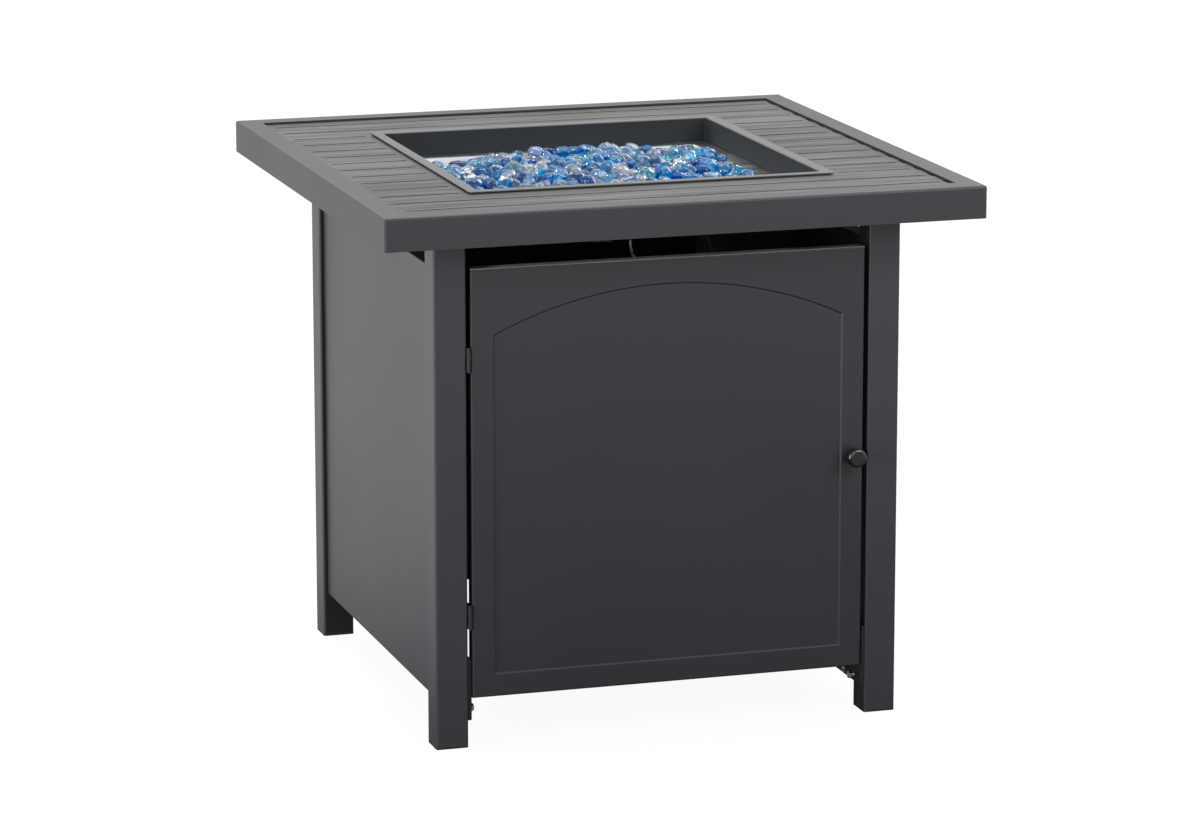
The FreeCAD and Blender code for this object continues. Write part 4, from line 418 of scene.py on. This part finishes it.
WORN = {
    "rim": ["tabletop_rim"],
    "slats": ["slat_panel"],
    "legs": ["leg_front_left", "leg_front_right", "leg_back_left", "leg_back_right"],
    "panels": ["side_panel_left", "side_panel_right", "back_panel"],
    "door": ["door", "bottom_rail_left", "bottom_rail_right"],
    "bowl": ["fire_bowl"],
    "hinge": ["hinge_lower_leg_leaf", "hinge_lower_door_leaf", "hinge_upper_leg_leaf",
              "hinge_upper_door_leaf", "hinge_lower_pin", "hinge_upper_pin"],
    "black": ["rail_bracket_front_left", "rail_bracket_front_right", "rail_bracket_back_left",
              "rail_bracket_back_right", "bearer_front", "bearer_back"],
    "box": ["control_box"],
    "knob": ["door_knob"],
    "stainless": ["burner_ring", "control_plate"],
    "pan": ["burner_pan"],
    "zinc": ["frame_bolts", "standing_bolts", "cabinet_screws", "top_screws", "door_knob_screw",
             "hinge_leg_rivets", "hinge_door_rivets", "riser_nut", "igniter_nut", "burner_riser",
             "air_mixer"],
    "brass": ["gas_valve", "orifice_fitting", "burner_elbow", "hose_inlet"],
    "tube": ["gas_tube"],
    "probe": ["thermocouple", "valve_stem", "valve_collar"],
    "dial": ["gas_knob"],
    "plastic": ["igniter_body", "foot_caps", "leg_plugs"],
    "button": ["igniter_button"],
    "rubber": ["lead_grommets"],
    "magnet": ["magnetic_catch"],
    "light sleeve": ["ignition_lead"],
    "dark sleeve": ["thermocouple_lead"],
    "ceramic": ["igniter_electrode"],
}

for coat_name, node_names in WORN.items():
    for node_name in node_names:
        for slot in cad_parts[node_name].material_slots:
            slot.material = COATS[coat_name]


# Meshes

def joined(meshes):
    """The points and faces of several meshes as one list of each."""
    points, faces, count = [], [], 0
    for own_points, own_faces in meshes:
        points.append(own_points)
        faces += [[index + count for index in face] for face in own_faces]
        count += len(own_points)
    return np.concatenate(points), faces


def new_piece(name, points, faces, material, slot, body="table", sharp=None):
    """A smooth piece that rides on a body; edges bent by more than sharp stay sharp."""
    mesh = bpy.data.meshes.new(name)
    mesh.from_pydata([tuple(point) for point in points], [], faces)
    mesh.validate()
    mesh.shade_smooth()
    if sharp:
        mesh.set_sharp_from_angle(angle=sharp)
    piece = bpy.data.objects.new(name, mesh)
    bpy.context.scene.collection.objects.link(piece)
    mesh.materials.append(material)
    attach(piece, body)
    return piece


# Screws and bolts: each one found in the frame's own solids, and made again with its head's form

SEGMENTS = 36
ANGLES = np.arange(SEGMENTS) * math.tau / SEGMENTS
SHARP_EDGE = math.radians(28)

# Points past this share of a fastener's radius are on its head's edge
HEAD_EDGE = 0.97

# A thread's pitch, and its root and tip as shares of its radius
THREAD_PITCH = 0.8 * MM
THREAD_ROOT = 0.86
THREAD_TIP = 0.72

# A pan head's dome: shares of its radius, and of its height below the top
PAN_DOME = [(0.96, 1.0), (1.0, 0.86), (1.0, 0.6), (0.93, 0.32), (0.8, 0.13), (0.62, 0.0)]
PAN_SHANK = 0.476

# Its cross recess: the middle and the arms as shares of the radius, and the depth of its soft lip
CROSS_MIDDLE = 0.17
CROSS_ARM = 0.34
CROSS_LIP = 0.12 * MM

# A hexagon head: shares of the flats' radius, the top face's with their depths in mm, for a shallow dish
HEX_BEARING = 0.97
HEX_TOP = [(0.95, 0.0), (0.5, 0.0), (0.45, 0.2), (0.1, 0.2)]
HEX_EDGE = 0.25 * MM
HEX_THREAD = 2.5 * MM
SIXTH = math.pi / 3


def loose_solids(node):
    """The separate solids of a node, each as an array of its points."""
    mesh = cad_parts[node].data
    group = list(range(len(mesh.vertices)))

    def root(index):
        while group[index] != index:
            group[index] = group[group[index]]
            index = group[index]
        return index

    places = {}
    for index, vertex in enumerate(mesh.vertices):
        twin = places.setdefault(tuple(round(value, 7) for value in vertex.co), index)
        group[root(index)] = root(twin)
    for edge in mesh.edges:
        group[root(edge.vertices[0])] = root(edge.vertices[1])
    solids = {}
    for index, vertex in enumerate(mesh.vertices):
        solids.setdefault(root(index), []).append(vertex.co[:])
    return [np.array(points) for points in solids.values()]


def around(points, axis):
    """The points' places across an axis through the origin, and how far they are from it."""
    across = np.delete(points, axis, axis=1)
    return across, np.hypot(across[:, 0], across[:, 1])


def fastener_frame(points):
    """Where a fastener's head ends, its axes (the third one out of the head), and its measures."""
    low, high = points.min(axis=0), points.max(axis=0)
    middle = (low + high) / 2
    radii = [around(points - middle, axis)[1].max() for axis in range(3)]
    axis = int(np.argmin(radii))
    across, away = around(points - middle, axis)
    edge = points[away > radii[axis] * HEAD_EDGE, axis]
    out = 1.0 if edge.mean() > middle[axis] else -1.0
    top = high[axis] if out > 0 else low[axis]
    head = abs(top - (edge.min() if out > 0 else edge.max()))
    tip = middle.copy()
    tip[axis] = top
    corner = np.zeros(3)
    corner[[other for other in range(3) if other != axis]] = across[np.argmax(away)]
    corner /= np.linalg.norm(corner)
    along = np.zeros(3)
    along[axis] = out
    turn = np.array((corner, np.cross(along, corner), along))
    return tip, turn, radii[axis], head, high[axis] - low[axis]


def ring_at(radius, height):
    """A ring of points; radius and height may each be one number or one for each point."""
    return np.column_stack((np.cos(ANGLES) * radius, np.sin(ANGLES) * radius, np.full(SEGMENTS, height)))


def lathe(rings):
    """Faces between rings of points, closed at both ends."""
    faces = [list(range(SEGMENTS))[::-1]]
    for first in range(0, (len(rings) - 1) * SEGMENTS, SEGMENTS):
        second = first + SEGMENTS
        for step in range(SEGMENTS):
            after = (step + 1) % SEGMENTS
            faces.append([first + step, first + after, second + after, second + step])
    faces.append(list(range((len(rings) - 1) * SEGMENTS, len(rings) * SEGMENTS)))
    return np.concatenate(rings), faces


def shank(radius, length, top):
    """Threaded shank below a head, from its end up to top."""
    root = radius * THREAD_ROOT
    rings = [ring_at(radius * THREAD_TIP, top - length), ring_at(root, top - length + THREAD_PITCH / 2)]
    height = top - length + THREAD_PITCH
    while height < top - THREAD_PITCH:
        rings += [ring_at(radius, height), ring_at(root, height + THREAD_PITCH / 2)]
        height += THREAD_PITCH
    return rings + [ring_at(radius, top)]


def pan_head(radius, head, length):
    """Domed head with a cross recess, under it a threaded shank."""
    cross = radius * (CROSS_MIDDLE + CROSS_ARM * np.abs(np.cos(2 * ANGLES)) ** 6)
    rings = shank(radius * PAN_SHANK, length - head, -head)
    rings += [ring_at(radius * wide, -head * deep) for wide, deep in PAN_DOME]
    rings += [ring_at(cross, 0), ring_at(cross * 0.92, -CROSS_LIP), ring_at(cross * 0.7, -head * 0.55),
              ring_at(radius * 0.06, -head * 0.72)]
    return lathe(rings)


def hex_head(radius, head, length):
    """Hexagon head with its corners turned off at 30 degrees and a round top face."""
    flat = radius * math.cos(SIXTH / 2)
    off_corner = np.abs((ANGLES + SIXTH / 2) % SIXTH - SIXTH / 2)
    side = flat / np.cos(SIXTH / 2 - off_corner)
    bearing = flat * HEX_BEARING
    turned_off = (side - bearing) * math.tan(SIXTH / 2)
    rings = shank(HEX_THREAD, length - head, -head)
    rings += [ring_at(bearing, -head), ring_at(side, -head + HEX_EDGE), ring_at(side, -turned_off)]
    rings += [ring_at(flat * wide, -deep * MM) for wide, deep in HEX_TOP]
    return lathe(rings)


def fasteners(node, form, body="table"):
    """Replace a node's plain screws or bolts by detailed ones in the same places."""
    meshes = []
    for solid in loose_solids(node):
        tip, turn, radius, head, length = fastener_frame(solid)
        points, faces = form(radius, head, length)
        meshes.append((points @ turn + tip, faces))
    piece = new_piece(node + "_detailed", *joined(meshes), COATS["zinc"], "zinc", body, sharp=SHARP_EDGE)
    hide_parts(node)


fasteners("frame_bolts", hex_head)
fasteners("standing_bolts", hex_head)
fasteners("cabinet_screws", pan_head)
fasteners("top_screws", pan_head)
fasteners("door_knob_screw", pan_head, "door")


# Fire glass: pebbles in layers on the heap, in four tints

BED_LOW, BED_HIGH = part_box("fire_glass_bed")
BED_HALF = (BED_HIGH.x - BED_LOW.x) / 2
BED_FLOOR = BED_LOW.z
BED_EDGE = 37 * MM
BED_CROWN = 10 * MM
BACK_START = 0.5
BACK_DROP = 17 * MM
HOLLOW_PLACE = (-BED_HALF, BED_HALF)
HOLLOW_REACH = 92 * MM
HOLLOW_DEPTH = 24 * MM
HOLLOW_STEEPNESS = 1.6
BOWL_HALF = 206.5 * MM
LEDGE_TOP = PAN_HIGH.z
HIGHEST_GLASS = RIM_CORNER.z - 2 * MM

# How far the layers reach, and the sizes of their stones
WIDE_LAYER = (-BOWL_HALF + 1 * MM, BED_HALF + 0.5 * MM)
NARROW_LAYER = (-BED_HALF + 1 * MM, BED_HALF - 1 * MM)
STONE_SIZES = (9.5 * MM, 15.5 * MM)
DROP_SIZES = (9.5 * MM, 12.5 * MM)
STONE_CUTS = (4, 5, 6, 7, 7, 8, 9, 9)

# How sharply two cuts meet; a cut reaches only where the surface faces it by more than FACING
CUT_SHARPNESS = 32
FACING = 0.05
NO_CUT = 9.0

# The grid: a row's share of the pitch, and how far a stone strays, in pitches, mm up or down, and radians
ROW_SHARE = 0.87
STRAY = 0.28
UNEVEN = 4
TILT = 0.5

# The body of deeper glass
DEEP_CELLS = 60
DEEP_MARGIN = 3 * MM
DEEP_DROP = 17 * MM
DEEP_LUMPS = 2.5 * MM


def lump(x, y, scale, seed):
    """Smooth chance from -1 to 1 at a place; a larger scale makes smaller lumps."""
    return noise.noise(Vector((x * scale, y * scale, seed)))


def heap(x, y):
    """Height of the heap's surface at a place of the bowl, with its hollow at one corner."""
    fall = (x / BED_HALF) ** 2 + (y / BED_HALF) ** 2
    lumps = lump(x, y, 17, seed=3.1) * 6 * MM + lump(x, y, 40, seed=7.7) * 3 * MM
    near = max(0.0, 1 - math.hypot(x - HOLLOW_PLACE[0], y - HOLLOW_PLACE[1]) / HOLLOW_REACH)
    back = max(0.0, y / BED_HALF - BACK_START) / (1 - BACK_START)
    drop = BACK_DROP * (0.75 - 0.35 * x / BED_HALF) * back ** 1.5
    level = BED_FLOOR + BED_EDGE + BED_CROWN * (2 - fall) - drop
    return level + lumps - HOLLOW_DEPTH * min(1.0, near * HOLLOW_STEEPNESS)


def glass_stone(draw, cuts):
    """Points and faces of one stone of unit size: a flattened ball with soft flat cuts."""
    ball = bmesh.new()
    bmesh.ops.create_icosphere(ball, subdivisions=3 if cuts else 2, radius=1.0)
    stretch = np.array((1.0, draw.uniform(0.72, 0.95), draw.uniform(0.55, 0.78)))
    points = np.array([vertex.co[:] for vertex in ball.verts])
    faces = [[vertex.index for vertex in face.verts] for face in ball.faces]
    ball.free()
    reach = np.full(len(points), 1.0)
    points[:, 0] += 0.22 * points[:, 1] ** 2
    for _ in range(cuts):
        facing = np.array([draw.gauss(0, 1) for _ in range(3)])
        facing /= np.linalg.norm(facing)
        along = points @ facing
        depth = draw.uniform(0.52, 0.84)
        cut = np.where(along > FACING, depth / np.maximum(along, FACING), NO_CUT)
        reach = -np.log(np.exp(-CUT_SHARPNESS * reach) + np.exp(-CUT_SHARPNESS * cut)) / CUT_SHARPNESS
    return points * reach[:, None] * stretch, faces


def resting(x, y, size, drop):
    """Height of a stone's middle: on the heap, or on the pan's ledge where it lies over that."""
    level = heap(x, y) - drop
    if max(abs(x), abs(y)) > BED_HALF - size * 0.5:
        level = max(level, LEDGE_TOP + size * 0.62)
    return level


def on_bare_ledge(x, y, size):
    """True on the part of the ledge beside the hollow, which no stone covers."""
    beside = x < -BED_HALF + 20 * MM and y > 0.3 * BED_HALF
    return beside and max(abs(x), abs(y)) >= BED_HALF - size


def scatter(draw, pitch, drop, sizes, low, high):
    """Stones on a loose six-way grid from low to high in X and in Y: centre, size and turn of each."""
    spots = []
    for row in range(int((high - low) / (pitch * ROW_SHARE)) + 1):
        row_y = low + row * pitch * ROW_SHARE
        row_x = low + (row % 2) * pitch / 2
        while row_x <= high:
            size = draw.uniform(*sizes)
            margin = size * 0.8
            x, y = (max(low + margin, min(high - margin, middle + draw.uniform(-STRAY, STRAY) * pitch))
                    for middle in (row_x, row_y))
            z = min(resting(x, y, size, drop) + draw.uniform(-UNEVEN, UNEVEN) * MM, HIGHEST_GLASS - size)
            turn = Matrix.Rotation(draw.uniform(0, math.tau), 3, "Z")
            for axis in "XY":
                turn = turn @ Matrix.Rotation(draw.gauss(0, TILT), 3, axis)
            if not on_bare_ledge(x, y, size):
                spots.append(((x, y, z), size, turn))
            row_x += pitch
    return spots


# Each tint's share of the stones, and its glass
TINTS = {
    "cobalt": (0.33, poured_glass("cobalt glass", (0.001, 0.33, 0.78), (0.001, 0.15, 0.50), clear=0.8)),
    "blue": (0.29, poured_glass("blue glass", (0.001, 0.55, 0.94), (0.001, 0.33, 0.80), clear=0.78)),
    "aqua": (0.13, poured_glass("aqua glass", (0.40, 0.82, 0.95), (0.05, 0.58, 0.86), clear=0.85)),
    "clear": (0.26, poured_glass("clear glass", (0.98, 1.0, 1.0), (0.84, 0.93, 0.96), clear=0.88)),
}


def fire_glass():
    """The loose stones in two layers, one piece for each tint."""
    draw = random.Random(20)
    drops = [glass_stone(draw, 0) for _ in range(4)]
    stones = [glass_stone(draw, cuts) for cuts in STONE_CUTS]
    layers = [(drops + stones * 2, scatter(draw, 21.5 * MM, 1.5 * MM, STONE_SIZES, *WIDE_LAYER)),
              (drops, scatter(draw, 20.0 * MM, 12.0 * MM, DROP_SIZES, *NARROW_LAYER))]
    heaps = {tint: [] for tint in TINTS}
    shares = [share for share, _ in TINTS.values()]
    for forms, spots in layers:
        for centre, size, turn in spots:
            tint = draw.choices(list(TINTS), shares)[0]
            form, faces = forms[draw.randrange(len(forms))]
            heaps[tint].append((form @ np.array(turn.transposed()) * size + np.array(centre), faces))
    for tint, meshes in heaps.items():
        piece = new_piece("fire_glass_" + tint, *joined(meshes), TINTS[tint][1], "fire_glass")
        if tint == "cobalt":
            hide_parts("fire_glass_bed")


def glass_below():
    """The deeper glass: one lumpy closed body under the loose layers."""
    half = BED_HALF - DEEP_MARGIN
    step = 2 * half / DEEP_CELLS
    side = DEEP_CELLS + 1
    points, faces = [], []
    for i in range(side):
        for j in range(side):
            x, y = -half + i * step, -half + j * step
            points.append((x, y, heap(x, y) - DEEP_DROP + DEEP_LUMPS * lump(x, y, 130, seed=0)))
    for i in range(DEEP_CELLS):
        for j in range(DEEP_CELLS):
            corner = i * side + j
            faces.append([corner, corner + side, corner + side + 1, corner + 1])
    rim = [i * side for i in range(side)]
    rim += [DEEP_CELLS * side + j for j in range(1, side)]
    rim += [i * side + DEEP_CELLS for i in range(DEEP_CELLS - 1, -1, -1)]
    rim += list(range(DEEP_CELLS - 1, 0, -1))
    foot = len(points)
    points += [(points[index][0], points[index][1], BED_FLOOR + 1 * MM) for index in rim]
    for place, index in enumerate(rim):
        after = (place + 1) % len(rim)
        faces.append([rim[after], index, foot + place, foot + after])
    faces.append(list(range(foot, len(points))))
    new_piece("fire_glass_deep", points, faces, TINTS["cobalt"][1], "fire_glass")


fire_glass()
glass_below()


# Stage: a white floor and surroundings, and soft lamps

FILL = 0.25
FLOOR_HALF = 30
FLOOR_BOUNCE = (0.12, 0.12, 0.12)
FLOOR_SHOWS = (0.10, 0.10, 0.10)
FLOOR_GLOW = 0.93
FLOOR_REACH = 3.2
# Painted shadow on the floor: its glow dims towards SHADED_MIDDLE, under and in front of the table, and
# FLOOR_SHADE gives the glow in reflections at each share of FLOOR_REACH
SHADED_MIDDLE = (0.05, -0.8, 0)
FLOOR_SHADE = [(0.14, 0.0), (0.23, 0.1), (0.33, 0.34), (0.46, 0.62), (0.7, 0.85), (1.0, 1.0)]
WHITE = (1, 1, 1)


def rays(finish, *kinds):
    """1 for rays of these kinds, 0 for all others."""
    found = [finish.node("ShaderNodeLightPath", {}, {}, f"Is {kind} Ray") for kind in kinds]
    return sum(found[1:], found[0]).clipped()


def seen_directly(finish):
    """1 for what the camera, a gloss or a glass shows, 0 for what only lights the object."""
    return rays(finish, "Camera", "Glossy", "Transmission")


def surroundings():
    """A white world that gives the object only a fill light."""
    world = bpy.data.worlds.new("studio")
    bpy.context.scene.world = world
    studio = Finish("studio", world)
    strength = seen_directly(studio) * (1 - FILL) + FILL
    studio.surface(studio.node("ShaderNodeBackground", {}, {"Color": WHITE, "Strength": strength}))


def studio_floor():
    """A floor that glows white and takes the object's shadow; near the object its glow is dimmed as a
    painted shadow, faintly where the camera sees it and deeply in what shines in the object.
    """
    mesh = bpy.data.meshes.new("studio_floor")
    corners = [(-FLOOR_HALF, -FLOOR_HALF, 0), (FLOOR_HALF, -FLOOR_HALF, 0),
               (FLOOR_HALF, FLOOR_HALF, 0), (-FLOOR_HALF, FLOOR_HALF, 0)]
    mesh.from_pydata(corners, [], [[0, 1, 2, 3]])
    floor = bpy.data.objects.new("studio_floor", mesh)
    bpy.context.scene.collection.objects.link(floor)
    white = Finish("white floor")
    tone = white.blend(seen_directly(white), FLOOR_BOUNCE, FLOOR_SHOWS)
    matt = white.node("ShaderNodeBsdfDiffuse", {}, {"Color": tone})
    share = (white.distance(white.place(), SHADED_MIDDLE) * (1 / FLOOR_REACH)).clipped()
    shaded = white.ramp(share, [(place, (bright,) * 3) for place, bright in FLOOR_SHADE])
    # Painted shadow: the glow the camera sees falls from white far off to FLOOR_GLOW near the object
    open_glow = rays(white, "Camera", "Transmission") * (share * (1 - FLOOR_GLOW) + FLOOR_GLOW)
    glossy_glow = rays(white, "Glossy") * shaded * FLOOR_GLOW
    glow = white.node("ShaderNodeEmission", {}, {"Color": WHITE, "Strength": open_glow + glossy_glow})
    mesh.materials.append(white.surface(white.node("ShaderNodeAddShader", {}, {0: matt, 1: glow})))


def lamp(name, place, target, size, power):
    data = bpy.data.lights.new(name, "AREA")
    data.shape = "SQUARE"
    data.size = size
    data.energy = power
    made = bpy.data.objects.new(name, data)
    bpy.context.scene.collection.objects.link(made)
    made.location = place
    made.rotation_euler = (Vector(target) - Vector(place)).to_track_quat("-Z", "Y").to_euler()


def camera():
    """The photograph's camera: its place, aim and lens, solved from the table's corners."""
    data = bpy.data.cameras.new("camera")
    data.sensor_width = 36.0
    data.lens = 145.55
    made = bpy.data.objects.new("camera", data)
    bpy.context.scene.collection.objects.link(made)
    made.location = (-1.7024, -5.4255, 1.5886)
    turn, dip = math.radians(-17.46), math.radians(12.602)
    aim = Vector((-math.sin(turn) * math.cos(dip), math.cos(turn) * math.cos(dip), -math.sin(dip)))
    made.rotation_euler = aim.to_track_quat("-Z", "Y").to_euler()
    bpy.context.scene.camera = made


surroundings()
studio_floor()
lamp("top", place=(0.3, 0.25, 3.0), target=(0, 0, 0.5), size=1.8, power=41)
lamp("front", place=(0.95, -1.7, 1.4), target=(0, 0, 0.5), size=1.0, power=15)
lamp("low_front", place=(0.2, -4.0, 0.7), target=(0, 0, 0.58), size=0.8, power=8.5)
lamp("right_back", place=(2.3, 1.5, 2.0), target=(0.2, 0, 0.6), size=1.5, power=36)
lamp("left", place=(-2.7, -0.9, 0.7), target=(0, 0, 0.3), size=1.6, power=50)
lamp("spark", place=(-0.7, 1.6, 2.3), target=(0, 0, 0.6), size=0.25, power=16)
camera()
bpy.context.scene.view_settings.view_transform = "Standard"
